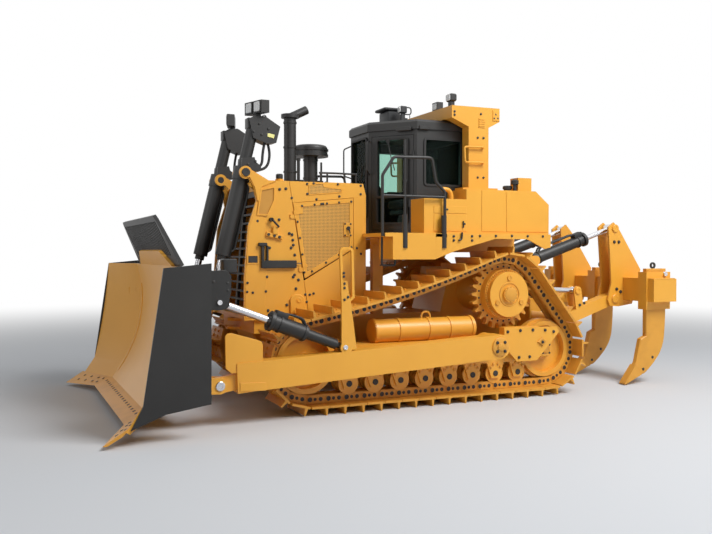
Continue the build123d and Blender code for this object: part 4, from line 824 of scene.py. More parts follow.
# Synthetic rubber hose cover: matt black
HOSE_RUBBER = MottledFinish("hose_rubber", "#1d1d1d", "#2a2a29", 120, 0.3, 0.65)
# Clear polycarbonate of a lamp: pale and glossy
LAMP_LENS = MottledFinish("lamp_lens", "#e8eaea", "#cfd4d4", 60, 0.3, 0.12, coat=0.5)
# Tinted polycarbonate of a marker lamp: pale yellow and glossy
MARKER_LENS = MottledFinish("marker_lens", "#f3ee9a", "#e2dc86", 60, 0.3, 0.15, coat=0.5)
# Enamel inside a pocket, browner as the pocket's painted shade: the same yellow, darker and browner
PAINTED_SHADE_ENAMEL = MottledFinish("pocket_painted_shade", "#c78f38", "#b27c2c", 200, 0.4, 0.5)
# Perforated enamelled sheet: yellow, evenly dotted with painted shade where the holes show the space behind
# it
PERFORATED_SHEET = ScreenFinish()
# Tinted safety glass: clear with a green cast
TINTED_GLASS = GlassFinish()

SLOT_FINISH = {
    Slot.YELLOW: YELLOW_ENAMEL,
    Slot.BLACK: BLACK_POWDER,
    Slot.GLASS: TINTED_GLASS,
    Slot.CHROME: CHROME_ROD,
    Slot.TRACK: YELLOW_CASTING,
    Slot.CLOTH: SEAT_WEAVE,
    Slot.PLASTIC: MOULDED_ABS,
    Slot.IRON: DARK_IRON,
}


def dress_nodes() -> None:
    """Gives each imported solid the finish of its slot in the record."""
    for row in frame["record"]["subparts"]:
        mesh = frame["nodes"][row["node"]].data
        mesh.materials.clear()
        mesh.materials.append(SLOT_FINISH[Slot(row["material_slot"])].material())
    LOG.info("dressed %d nodes", len(frame["nodes"]))


def mesh_of(name: str, shape: Shape, material: bpy.types.Material) -> bpy.types.Mesh:
    """Turns a shape into a Blender mesh.

    Args:
        name: the mesh's name.
        shape: its geometry.
        material: what it is made of.

    Returns:
        The new mesh.
    """
    mesh = bpy.data.meshes.new(name)
    rows = [row for block in shape.faces for row in block.tolist()]
    mesh.from_pydata(shape.vertices.tolist(), [], rows)
    mesh.materials.append(material)
    return mesh


def put_in_scene(name: str, data: bpy.types.ID) -> bpy.types.Object:
    """Makes an object of a mesh, a lamp or a camera and links it to the scene.

    Args:
        name: the object's name.
        data: what it holds.

    Returns:
        The new object.
    """
    made = bpy.data.objects.new(name, data)
    bpy.context.scene.collection.objects.link(made)
    return made


def piece(
    name: str, finish: Finish, *shapes: Shape, body: Body = Body.MACHINE, slot: Slot = Slot.YELLOW
) -> bpy.types.Object:
    """Makes an object from shapes, gives it its finish and lets it ride on its body.

    Args:
        name: the piece's name.
        finish: the finish it is made in.
        *shapes: its geometry in the row frame.
        body: the body it rides on.
        slot: the record's slot that it belongs to; not used.

    Returns:
        The new object.
    """
    mesh = mesh_of(name, joined(shapes), finish.material())
    mesh.shade_smooth()
    mesh.set_sharp_from_angle(angle=math.radians(SMOOTH_BELOW_DEG))
    made = put_in_scene(name, mesh)
    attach(made, body.value)
    LOG.info("%s: %d faces", name, len(mesh.polygons))
    return made


def pair(
    name: str, finish: Finish, *shapes: Shape, body: Body = Body.MACHINE, slot: Slot = Slot.YELLOW
) -> None:
    """Makes one piece from left-hand shapes and their mirror images on the right.

    Args:
        name: the piece's name.
        finish: the finish it is made in.
        *shapes: its geometry on the machine's left.
        body: the body it rides on.
        slot: the record's slot that it belongs to.
    """
    piece(name, finish, both_sides(joined(shapes)), body=body, slot=slot)


@dataclass
class Studio:
    """Pale floor, white surroundings and soft lamps at a plain level.

    Attributes:
        floor_radius: of the round floor.
        floor_colour: sRGB hex of the floor beside the machine.
        fade: distances from the middle between which the floor turns white.
        floor_light: how much light the white part gives to the machine.
        sky_strength: how much light the white surroundings give.
        lamps: name, place, side length and power in watts of each lamp.
        aim: the point that every lamp faces.
    """

    floor_radius: float = 60.0
    floor_colour: str = "#cdd0d4"
    fade: tuple = (6.0, 22.0)
    floor_light: float = 0.5
    sky_strength: float = 0.24
    lamps: tuple = (
        ("key", (-5.0, 10.0, 13.0), 7.0, 2450.0),
        ("front", (15.0, 3.0, 7.0), 7.0, 220.0),
        ("top", (-2.0, -2.0, 14.0), 12.0, 220.0),
    )
    aim: tuple = (0, 0, 1.5)

    def build(self) -> None:
        """Sets the view, the world, the floor and the lamps."""
        bpy.context.scene.view_settings.view_transform = "Standard"
        self.world()
        self.floor()
        for name, place, size, power in self.lamps:
            self.lamp(name, place, size, power)

    def world(self) -> None:
        """A white world for the camera and reflections, dimmer as a light."""
        world = bpy.data.worlds.new("studio")
        bpy.context.scene.world = world
        world.use_nodes = True
        tree = world.node_tree
        tree.nodes.clear()
        strength = self.seen_white(tree, self.sky_strength)
        light = add_node(tree, "ShaderNodeBackground", {"Color": (1, 1, 1, 1), "Strength": strength})
        add_node(tree, "ShaderNodeOutputWorld", {"Surface": light.outputs[0]})

    def seen_white(self, tree: bpy.types.NodeTree, other: float) -> bpy.types.NodeSocket:
        """A strength of 1 for camera, glossy and transmission rays and another for the rest.

        Args:
            tree: the node tree.
            other: the value that lights.

        Returns:
            The socket with the strength.
        """
        rays = add_node(tree, "ShaderNodeLightPath").outputs
        shows = rays["Is Camera Ray"]
        for kind in ("Is Transmission Ray", "Is Glossy Ray"):
            made = add_node(tree, "ShaderNodeMath", {0: shows, 1: rays[kind]}, operation="MAXIMUM")
            shows = made.outputs[0]
        levels = {"Value": shows, "To Min": other, "To Max": 1.0}
        return add_node(tree, "ShaderNodeMapRange", levels).outputs[0]

    def floor(self) -> None:
        """A round pale floor that fades to white far from the machine and keeps its shadow."""
        made = blank_material("studio_floor")
        tree = made.node_tree
        place = add_node(tree, "ShaderNodeTexCoord").outputs["Object"]
        distance = add_node(tree, "ShaderNodeVectorMath", {0: place}, operation="LENGTH").outputs["Value"]
        low, high = self.fade
        levels = {"Value": distance, "From Min": low, "From Max": high, "To Min": 0.0}
        fade = add_node(tree, "ShaderNodeMapRange", levels, interpolation_type="SMOOTHSTEP")
        colour = linear(self.floor_colour)
        matt = add_node(tree, "ShaderNodeBsdfDiffuse", {"Color": colour, "Roughness": 0.0})
        strength = self.seen_white(tree, self.floor_light)
        glow = add_node(tree, "ShaderNodeEmission", {"Color": (1, 1, 1, 1), "Strength": strength})
        layers = {0: fade.outputs[0], 1: matt.outputs[0], 2: glow.outputs[0]}
        mixed = add_node(tree, "ShaderNodeMixShader", layers)
        add_node(tree, "ShaderNodeOutputMaterial", {"Surface": mixed.outputs[0]})
        disc = turned([self.floor_radius, self.floor_radius], [-0.02, 0.0], sides=96)
        put_in_scene("floor", mesh_of("floor", disc, made))

    def lamp(self, name: str, place: tuple, size: float, power: float) -> None:
        """A square soft lamp that faces the machine's middle.

        Args:
            name: the lamp's name.
            place: where it hangs.
            size: its side.
            power: its power in watts.
        """
        light = bpy.data.lights.new(name, "AREA")
        light.size = size
        light.energy = power
        made = put_in_scene(name, light)
        made.location = place
        made.rotation_mode = "QUATERNION"
        made.rotation_quaternion = (Vector(self.aim) - Vector(place)).to_track_quat("-Z", "Y")


@dataclass
class Viewpoint:
    """The photograph's camera: place, heading and lens."""

    place: tuple = (5.0666, 10.3221, 1.9369)
    yaw_deg: float = 24.044
    down_deg: float = 1.070
    lens_mm: float = 41.09
    sensor_mm: float = 36.0

    def build(self) -> None:
        """Makes the camera and points it.

        The camera looks along (-sin yaw cos down, -cos yaw cos down, -sin down).
        """
        yaw = math.radians(self.yaw_deg)
        down = math.radians(self.down_deg)
        ahead = Vector(
            (-math.sin(yaw) * math.cos(down), -math.cos(yaw) * math.cos(down), -math.sin(down))
        )
        right = Vector((-math.cos(yaw), math.sin(yaw), 0.0))
        up = right.cross(ahead)
        turn = Matrix((right, up, -ahead)).transposed().to_4x4()
        data = bpy.data.cameras.new("camera")
        data.lens = self.lens_mm
        data.sensor_width = self.sensor_mm
        data.sensor_fit = "HORIZONTAL"
        data.clip_end = 300
        camera = put_in_scene("camera", data)
        camera.matrix_world = Matrix.Translation(self.place) @ turn
        bpy.context.scene.camera = camera


@dataclass
class TrackChain:
    """The links, pins and shoe bolts of both tracks, laid along the same line as the solid loops.

    The line runs round three wheels with straight runs between them and an arc that sags
    on the top run. Lengths are in metres.
    """

    wheels: tuple = ((1.665, 0.614, 0.455), (-1.160, 1.375, 0.4825), (-1.809, 0.614, 0.455))
    count: int = 43
    sag: float = 0.075
    gauge_half: float = 1.125
    rail_face: float = 0.105
    shoe_face: float = 0.075
    bolt_rows: tuple = (-0.062, 0.012)
    bolt_columns: tuple = (-0.105, 0.105)
    link_size: tuple = (0.218, 0.098, 0.04)
    link_drop: float = -0.006
    link_thickness: float = 0.007
    link_holes: tuple = ((-0.072, 0.030), (-0.006, 0.021), (0.066, 0.026))

    def line(self) -> np.ndarray:
        """The closed pitch line as dense (x, z) points.

        Each wheel gives an arc between its two tangent runs: the outward normal of a run
        is the run's direction turned by the angle whose cosine is the radii's difference
        over the distance. The sagging run is a quadratic bow between its ends.

        Returns:
            Array of points in the order of travel.
        """
        w = np.asarray(self.wheels)
        step = np.roll(w, -1, axis=0)[:, :2] - w[:, :2]
        reach = np.linalg.norm(step, axis=1)
        lean = (w[:, 2] - np.roll(w[:, 2], -1)) / reach
        side = np.sqrt(1 - lean**2)
        normal = np.stack(
            [step[:, 0] * lean + step[:, 1] * side, step[:, 1] * lean - step[:, 0] * side], axis=1
        ) / reach[:, None]
        leaving = np.arctan2(normal[:, 1], normal[:, 0])
        arriving = np.roll(leaving, 1)
        leaving = np.where(leaving < arriving, leaving + 2 * math.pi, leaving)
        t = np.linspace(0, 1, 200)
        angles = arriving[:, None] + (leaving - arriving)[:, None] * t
        arcs = w[:, None, :2] + w[:, None, 2:] * np.stack([np.cos(angles), np.sin(angles)], axis=2)
        bow = arcs[0, -1] + (arcs[1, 0] - arcs[0, -1]) * t[:, None]
        bow[:, 1] -= self.sag * 4 * t * (1 - t)
        return np.concatenate([arcs[0], bow[1:-1], arcs[1], arcs[2], arcs[0, :1]])

    def frames(self) -> tuple[np.ndarray, np.ndarray]:
        """Middle and heading of each link: pins lie at equal lengths along the line.

        Returns:
            Link middles and unit headings, each count x 2.
        """
        line = self.line()
        lengths = np.concatenate([[0], np.cumsum(np.linalg.norm(np.diff(line, axis=0), axis=1))])
        at = np.arange(self.count) * lengths[-1] / self.count
        pins = np.stack([np.interp(at, lengths, line[:, 0]), np.interp(at, lengths, line[:, 1])], axis=1)
        following = np.roll(pins, -1, axis=0)
        heading = (following - pins) / np.linalg.norm(following - pins, axis=1, keepdims=True)
        return (pins + following) / 2, heading

    def repeated(self, shape: Shape) -> Shape:
        """Copies a shape to each link: its X runs back along the link, its Z out of the loop.

        Args:
            shape: given with X along the link, Y across the machine and Z outwards.

        Returns:
            All copies as one shape.
        """
        middle, heading = self.frames()
        v = shape.vertices
        x = middle[:, 0, None] - heading[:, 0, None] * v[:, 0] + heading[:, 1, None] * v[:, 2]
        z = middle[:, 1, None] - heading[:, 1, None] * v[:, 0] - heading[:, 0, None] * v[:, 2]
        y = np.broadcast_to(v[:, 1], x.shape)
        return copied(shape, np.stack([x, y, z], axis=2))

    def build(self) -> None:
        """Makes the link faces, the pin ends and the shoe bolts of both sides."""
        face = self.gauge_half + self.rail_face
        outline = rounded_rectangle(*self.link_size) + [0, self.link_drop]
        link = side_panel(outline, face, self.link_thickness, 0.002)
        pins = [
            placed(dot(radius), (x, face + self.link_thickness, self.link_drop), LEFT)
            for x, radius in self.link_holes
        ]
        spots = [
            (x, self.gauge_half + y, self.shoe_face) for x in self.bolt_rows for y in self.bolt_columns
        ]
        for name, finish, shape in (
            ("link_faces", YELLOW_CASTING, link),
            ("link_pins", DARK_IRON, joined(pins)),
            ("shoe_bolts", YELLOW_CASTING, scattered(bolt(0.032), spots, UP)),
        ):
            pair(name, finish, self.repeated(shape), slot=Slot.TRACK)


@dataclass
class Undercarriage:
    """Fasteners, caps, bands and bosses on the roller frames, idlers and final drives."""

    frame_face: float = 1.275
    guard_face: float = 1.395
    cover_face: float = 1.345
    drum_face: float = 1.275
    sprocket_face: float = 1.170
    drive: tuple = (-1.160, 1.375)
    idlers: tuple = ((1.665, 0.614), (-1.809, 0.614))
    roller_first: float = 1.120
    roller_pitch: float = 0.352
    roller_count: int = 8
    roller_height: float = 0.330
    roller_bolts: tuple = ((-0.074, 0, 0.085), (0.074, 0, 0.085), (-0.036, 0, 0.125), (0.036, 0, 0.125))
    tube: tuple = (-0.698, 0.754, 0.942, 0.148)
    tube_middle: float = 1.125
    eye_loop: tuple = (
        (-0.09, 1.125, 1.08), (-0.07, 1.125, 1.165), (0.03, 1.125, 1.165), (0.05, 1.125, 1.08),
    )
    guard_boss: tuple = ((-1.72, 0.735), (-1.65, 0.79), (-1.57, 0.735), (-1.65, 0.67))
    guard_bolts: tuple = (
        (-1.10, 0, 0.885), (-1.30, 0, 0.895), (-1.50, 0, 0.895), (-1.70, 0, 0.885), (-1.84, 0, 0.86),
        (-1.10, 0, 0.75), (-1.645, 0.022, 0.73), (-1.28, 0, 0.54), (-1.45, 0, 0.54),
    )

    def build(self) -> None:
        """Makes every group of small pieces."""
        self.rollers()
        self.idler_ends()
        self.final_drive()
        self.recoil_tube()
        self.rear_guard()

    def rollers(self) -> None:
        """Shaft ends and two bolts beside each on the roller brackets."""
        x = self.roller_first - np.arange(self.roller_count) * self.roller_pitch
        shafts = np.stack([x, np.full_like(x, self.frame_face), np.full_like(x, self.roller_height)], axis=1)
        pair("roller_shafts", DARK_IRON, scattered(cap(0.038, 0.008, 16), shafts, LEFT))
        spots = shafts[:, None] + np.array(self.roller_bolts)
        pair("roller_bolts", YELLOW_CASTING, scattered(bolt(0.034), spots, LEFT))

    def idler_ends(self) -> None:
        """A cap on each idler's axle with a ring of bolts round it on the fork."""
        ends = [(x, self.frame_face, z) for x, z in self.idlers]
        pair("idler_caps", YELLOW_CASTING, *[placed(cap(0.062, 0.016), end, LEFT) for end in ends])
        places = [circle_points(end, 0.078, 4, math.pi / 4) for end in ends]
        pair("idler_bolts", DARK_IRON, *[scattered(bolt(0.024), spots, LEFT) for spots in places])

    def final_drive(self) -> None:
        """The cover's rim of bolt heads, its three bosses and the domed cap in the middle."""
        x, z = self.drive
        rim = circle_points((x, self.drum_face, z), 0.318, 60)
        pair("drive_rim_bolts", YELLOW_CASTING, scattered(bolt(0.021), rim, LEFT))
        face = (x, self.cover_face, z)
        bosses = scattered(cap(0.036, 0.018, 16), circle_points(face, 0.215, 3, math.pi / 2), LEFT)
        bead = ring(0.150, [(-0.012, 0.0), (0.012, 0.0), (0.006, 0.010), (-0.006, 0.010)], 48)
        pair("drive_bosses", YELLOW_CASTING, bosses, placed(bead, face, LEFT))
        hub = (x, self.cover_face + 0.035, z)
        dome = turned([0.092, 0.086, 0.06, 0.022], [0, 0.008, 0.016, 0.019], 32)
        studs = scattered(bolt(0.016), circle_points(hub, 0.097, 12), LEFT)
        pair("drive_caps", YELLOW_CASTING, placed(dome, hub, LEFT), studs)
        teeth = circle_points((x, self.sprocket_face, z), 0.366, 25, math.pi / 25)
        pair("sprocket_bolts", DARK_IRON, scattered(bolt(0.022), teeth, LEFT), slot=Slot.TRACK)

    def recoil_tube(self) -> None:
        """Clamp bands round the recoil tube and the lifting eye on top of it."""
        low, high, z, radius = self.tube
        band = hoop(radius - 0.002, (0.0, 0.012), 0.022, 40)
        spots = [(x, self.tube_middle, z) for x in (low + 0.03, low + 0.36, -0.03, high - 0.36, high - 0.03)]
        pair("tube_bands", YELLOW_ENAMEL, *[placed(band, spot, AHEAD) for spot in spots])
        pair("lifting_eyes", YELLOW_ENAMEL, swept(rounded_path(self.eye_loop, 0.04), 0.013, 10))

    def rear_guard(self) -> None:
        """The bolts round the rear guard and its diamond-shaped boss."""
        pair("guard_bosses", YELLOW_CASTING, side_panel(self.guard_boss, self.guard_face, 0.022, 0.008))
        spots = np.array(self.guard_bolts) + [0, self.guard_face, 0]
        pair("guard_bolts", DARK_IRON, scattered(bolt(0.034), spots, LEFT))


@dataclass
class PushArmTrim:
    """Pin caps, trunnion caps and hose clamps on the push arms and the tilt cylinders."""

    arm_face: float = 1.652
    trunnion: tuple = (-0.810, 0.730)
    tilt_base: tuple = (1.331, 0.824)
    hoop_bolts: tuple = (
        (1.344, 1.568), (1.344, 1.518), (1.344, 1.380), (1.300, 1.410), (1.353, 1.690), (1.353, 1.650),
    )
    fin: tuple = (
        (2.330, 0.70), (2.330, 0.90), (2.345, 0.935), (2.400, 0.960), (2.690, 1.045), (2.735, 1.042),
        (2.760, 1.010), (2.755, 0.66), (2.690, 0.60), (2.600, 0.60),
    )
    pad: tuple = ((2.597, 0.496), (2.597, 0.400), (2.299, 0.388), (2.299, 0.480))

    def build(self) -> None:
        """Makes the caps, the fasteners, the welded fin on the arm's nose and the wear pad under it."""
        arms = {"body": Body.PUSH_ARMS}
        x, z = self.trunnion
        centre = (x, self.arm_face, z)
        disc = placed(turned([0.118, 0.118, 0.108], [0, 0.016, 0.022], 36), centre, LEFT)
        boss = placed(turned([0.052, 0.052, 0.044], [0.022, 0.034, 0.038], 24), centre, LEFT)
        pair("trunnion_caps", YELLOW_CASTING, disc, boss, **arms)
        spots = circle_points((x, self.arm_face + 0.022, z), 0.08, 4, math.pi / 4)
        pair("trunnion_bolts", DARK_IRON, scattered(bolt(0.034), spots, LEFT), **arms)
        pin = studded(cap(0.030, 0.014, 20), [self.tilt_base], self.arm_face)
        pair("tilt_base_pins", CHROME_ROD, pin, slot=Slot.CHROME, **arms)
        pair("hoop_bolts", DARK_IRON, studded(bolt(0.026), self.hoop_bolts, self.arm_face), **arms)
        pair("nose_fins", YELLOW_ENAMEL, side_panel(self.fin, self.arm_face - 0.030, 0.018), **arms)
        pair("nose_pads", YELLOW_ENAMEL, side_panel(self.pad, self.arm_face, 0.010), **arms)


@dataclass
class BladeTrim:
    """Edge bolts, pin ends and wing bands of the blade."""

    centre_half: float = 1.39
    wing_rate: float = 0.315 / 0.765
    drop_rate: float = 0.048 / 0.765
    bolt_spacing: float = 0.14
    end_bolts: tuple = (1.50, 1.62, 1.80, 1.98)
    edge_top: tuple = (3.5650, 0.192)
    edge_tip: tuple = (3.803, 0.088)
    edge_normal: tuple = (0.4, 0, 0.9165)
    arm_pin: tuple = (2.816, 1.644, 0.469)
    tilt_pin: tuple = (2.803, 1.669, 1.377)
    profile_z: tuple = (0.3, 0.4, 0.5, 0.6, 0.7, 0.8, 0.9, 1.0, 1.1, 1.2, 1.3, 1.4, 1.5)
    profile_x: tuple = (
        3.494, 3.428, 3.369, 3.319, 3.276, 3.241, 3.213, 3.191, 3.175, 3.165, 3.161, 3.163, 3.170,
    )

    def on_edge(self, y: np.ndarray, share: float) -> np.ndarray:
        """Points on the cutting edge's upper face: share runs from its seat (0) to its tip (1).

        The wing part moves forward and down in proportion to the distance past the centre.

        Args:
            y: widths of the points.
            share: place between seat and tip.

        Returns:
            Array of points.
        """
        past = np.maximum(np.abs(y) - self.centre_half, 0)
        x = self.edge_top[0] + share * (self.edge_tip[0] - self.edge_top[0]) + past * self.wing_rate
        z = self.edge_top[1] + share * (self.edge_tip[1] - self.edge_top[1]) - past * self.drop_rate * share
        return np.stack([x, y, z], axis=1)

    def build(self) -> None:
        """Makes the plough bolts, the pin caps and the wings' bands."""
        centre = np.arange(-self.centre_half + 0.06, self.centre_half - 0.02, self.bolt_spacing)
        ends = np.array(self.end_bolts)
        spots = [self.on_edge(centre, 0.34)]
        for share in (0.26, 0.62):
            spots += [self.on_edge(ends, share), self.on_edge(-ends, share)]
        head = turned([0.019, 0.019, 0.013], [0, 0.004, 0.005], 8)
        bolts = scattered(head, np.concatenate(spots), self.edge_normal)
        piece("plough_bolts", DARK_IRON, bolts, body=Body.BLADE, slot=Slot.TRACK)
        caps = [
            placed(cap(0.052, 0.016, 24), self.arm_pin, LEFT),
            placed(cap(0.046, 0.016, 24), self.tilt_pin, LEFT),
        ]
        pair("blade_pin_caps", CHROME_ROD, *caps, body=Body.BLADE, slot=Slot.CHROME)
        self.wing_bands()

    def wing_bands(self) -> None:
        """The welded bands where the wings meet the moldboard: strips that follow its curved face."""
        levels = np.arange(0.30, 1.51, 0.1)
        face = np.interp(levels, self.profile_z, self.profile_x)
        front = np.stack([face + 0.009, levels], axis=1)
        back = np.stack([face - 0.012, levels], axis=1)[::-1]
        band = side_panel(np.concatenate([front, back]), self.centre_half - 0.10, 0.10, 0.003)
        pair("wing_bands", YELLOW_ENAMEL, band, body=Body.BLADE)


@dataclass
class LiftHeadTrim:
    """Lamps, hoses and fasteners on the heads of the lift cylinders."""

    head_face: float = 0.686
    pod_outer: tuple = (2.066, 0.763)
    pod_inner: tuple = (2.176, 0.419)
    pod_middle: float = 3.722
    lamp_size: float = 0.118
    lamp_spots: tuple = (0.085, 0.262)
    marker: tuple = ((1.963, 3.401), (1.872, 3.388), (1.885, 3.340), (1.967, 3.358))
    hose_routes: tuple = (
        ((1.985, 0.64, 3.310), (2.015, 0.64, 3.150), (2.020, 0.64, 3.020), (2.090, 0.64, 2.965)),
        ((1.925, 0.56, 3.310), (1.890, 0.56, 3.150), (1.930, 0.56, 2.985), (2.080, 0.56, 2.945)),
    )
    # The barrel's direction, the direction to its rear face, and the yoke's middle
    down: tuple = (0.236098, 0, -0.971729)
    behind: tuple = (-0.971729, 0, -0.236098)
    yoke: tuple = (2.263, 0.591, 2.902)
    pipe_steps: tuple = ((0.12, 0.08), (0.16, 0.118), (0.94, 0.118), (0.99, 0.06))
    eye: tuple = (1.985, 0.62, 3.606)
    yoke_pin: tuple = (2.263, 0.760, 2.902)
    head_bolts: tuple = (
        (2.068, 3.513), (2.141, 3.414), (2.037, 3.381), (1.951, 3.455), (2.212, 3.011), (2.12, 3.05),
    )

    def build(self) -> None:
        """Makes the lamps, the hoses and the fasteners."""
        self.lamps()
        self.hoses()
        self.fasteners()

    def pair(self, name: str, finish: Finish, *shapes: Shape, slot: Slot = Slot.BLACK) -> None:
        """Makes a mirrored piece that rides on the lift cylinders' barrels."""
        pair(name, finish, *shapes, body=Body.LIFT_BARRELS, slot=slot)

    def lamps(self) -> None:
        """Two square lamps on the pod's slanted front, and a marker lens on the head's side."""
        outer = np.array([*self.pod_outer, self.pod_middle])
        inner = np.array([*self.pod_inner, self.pod_middle])
        way = (inner - outer) / np.linalg.norm(inner - outer)
        normal = (-way[1], way[0], 0.0)
        spots = [outer + way * at for at in self.lamp_spots]
        rim = self.lamp_size + 0.03
        bezel = plate(rounded_rectangle(rim, rim, 0.012), 0.010, 0.003)
        lens = plate(rounded_rectangle(self.lamp_size, self.lamp_size, 0.02), 0.016, 0.004)
        self.pair("head_lamp_bezels", BLACK_POWDER, scattered(bezel, spots, normal))
        self.pair("head_lamp_lenses", LAMP_LENS, scattered(lens, spots, normal), slot=Slot.PLASTIC)
        marker = side_panel(self.marker, self.head_face, 0.008)
        self.pair("marker_lenses", MARKER_LENS, marker, slot=Slot.PLASTIC)

    def hoses(self) -> None:
        """Two hoses a side from the head to the manifold, and the pipes down each barrel."""
        hoses = [swept(rounded_path(route, 0.09, 8), 0.017, 12) for route in self.hose_routes]
        self.pair("head_hoses", HOSE_RUBBER, *hoses, slot=Slot.PLASTIC)
        down, behind, yoke = (np.array(row) for row in (self.down, self.behind, self.yoke))
        pipes = []
        for side in (-0.035, 0.035):
            route = [yoke + [0, side, 0] + down * a + behind * b for a, b in self.pipe_steps]
            pipes.append(swept(rounded_path(route, 0.03), 0.013))
        self.pair("barrel_pipes", BLACK_POWDER, *pipes)
        eye = placed(hoop(0.026, (-0.005, 0.005), 0.005, 20), self.eye, LEFT)
        self.pair("head_brackets", BLACK_POWDER, eye, slab((2.150, 2.205), (0.52, 0.66), (3.455, 3.585)))

    def fasteners(self) -> None:
        """Bolts on the head's side and the ends of the yoke pins."""
        self.pair("head_bolts", DARK_IRON, studded(bolt(0.026), self.head_bolts, self.head_face))
        self.pair("yoke_pin_caps", BLACK_POWDER, placed(cap(0.052, 0.018), self.yoke_pin, LEFT))


@dataclass
class CylinderTrim:
    """Collars, gland bolts, a port block and pipes on one pair of hydraulic cylinders.

    Attributes:
        name: start of the pieces' names.
        body: the barrels' body.
        base: the base pin on the left.
        eye: the rod eye on the left.
        radius: the barrel's radius.
        barrel: distances along the axis between which the barrel runs.
        port_side: 1 for a port block on top, -1 for one underneath.
        gland: the section of the gland's collar, outward and along.
        studs: bolts round the gland.
    """

    name: str
    body: Body
    base: tuple
    eye: tuple
    radius: float
    barrel: tuple
    port_side: int = 1
    gland: tuple = (
        (-0.004, -0.026), (0.018, -0.026), (0.024, -0.02), (0.024, 0.02), (0.018, 0.026), (-0.004, 0.026),
    )
    studs: int = 10

    def build(self) -> None:
        """Makes the rings, the gland bolts, the port block and the pipes."""
        base = np.array(self.base)
        way = (np.array(self.eye) - base) / np.linalg.norm(np.array(self.eye) - base)
        up = np.cross(way, LEFT)
        up *= self.port_side * (1 if up[2] > 0 else -1)
        low, high = self.barrel
        rings = [placed(ring(self.radius, self.gland, 40), base + way * (high - 0.03), way)]
        band = hoop(self.radius, (-0.004, 0.010), 0.012, 40)
        rings += [placed(band, base + way * at, way) for at in (low + 0.03, high - 0.14)]
        self.pair("collars", BLACK_POWDER, *rings)
        x_axis, y_axis, _ = axes(way)
        angles = np.arange(self.studs)[:, None] * 2 * math.pi / self.studs
        around = np.cos(angles) * x_axis + np.sin(angles) * y_axis
        studs = scattered(bolt(0.02), base + way * high + (self.radius - 0.016) * around, way)
        self.pair("studs", DARK_IRON, studs)
        block = plate(rounded_rectangle(0.075, 0.11, 0.012, 3), 0.15, 0.008)
        ports = [placed(block, base + way * (high - 0.20) + up * (self.radius + 0.012), way, up)]
        route = [(high - 0.13, 0.03), (high - 0.24, 0.052), (low + 0.09, 0.052), (low + 0.04, -0.01)]
        for side in (-0.028, 0.028):
            path = [base + [0, side, 0] + way * a + up * (self.radius + b) for a, b in route]
            ports.append(swept(rounded_path(path, 0.05), 0.014))
        self.pair("ports", HOSE_RUBBER, *ports)

    def pair(self, name: str, finish: Finish, *shapes: Shape) -> None:
        """Makes a mirrored piece that rides on these barrels."""
        pair(f"{self.name}_{name}", finish, *shapes, body=self.body, slot=Slot.BLACK)


TILT_CYLINDERS = CylinderTrim(
    "tilt_cylinder", Body.TILT_BARRELS, (1.331, 1.580, 0.824), (2.803, 1.580, 1.377), 0.092, (0.50, 0.98)
)
RIPPER_TILT = CylinderTrim(
    "ripper_tilt",
    Body.RIPPER_TILT_BARRELS,
    (-2.074, 0.562, 1.811),
    (-3.523, 0.562, 2.290),
    0.082,
    (0.10, 1.02),
)
RIPPER_LIFT = CylinderTrim(
    "ripper_lift",
    Body.RIPPER_LIFT_BARRELS,
    (-1.600, 0.562, 1.430),
    (-2.855, 0.562, 1.360),
    0.072,
    (0.40, 0.755),
    port_side=-1,
)


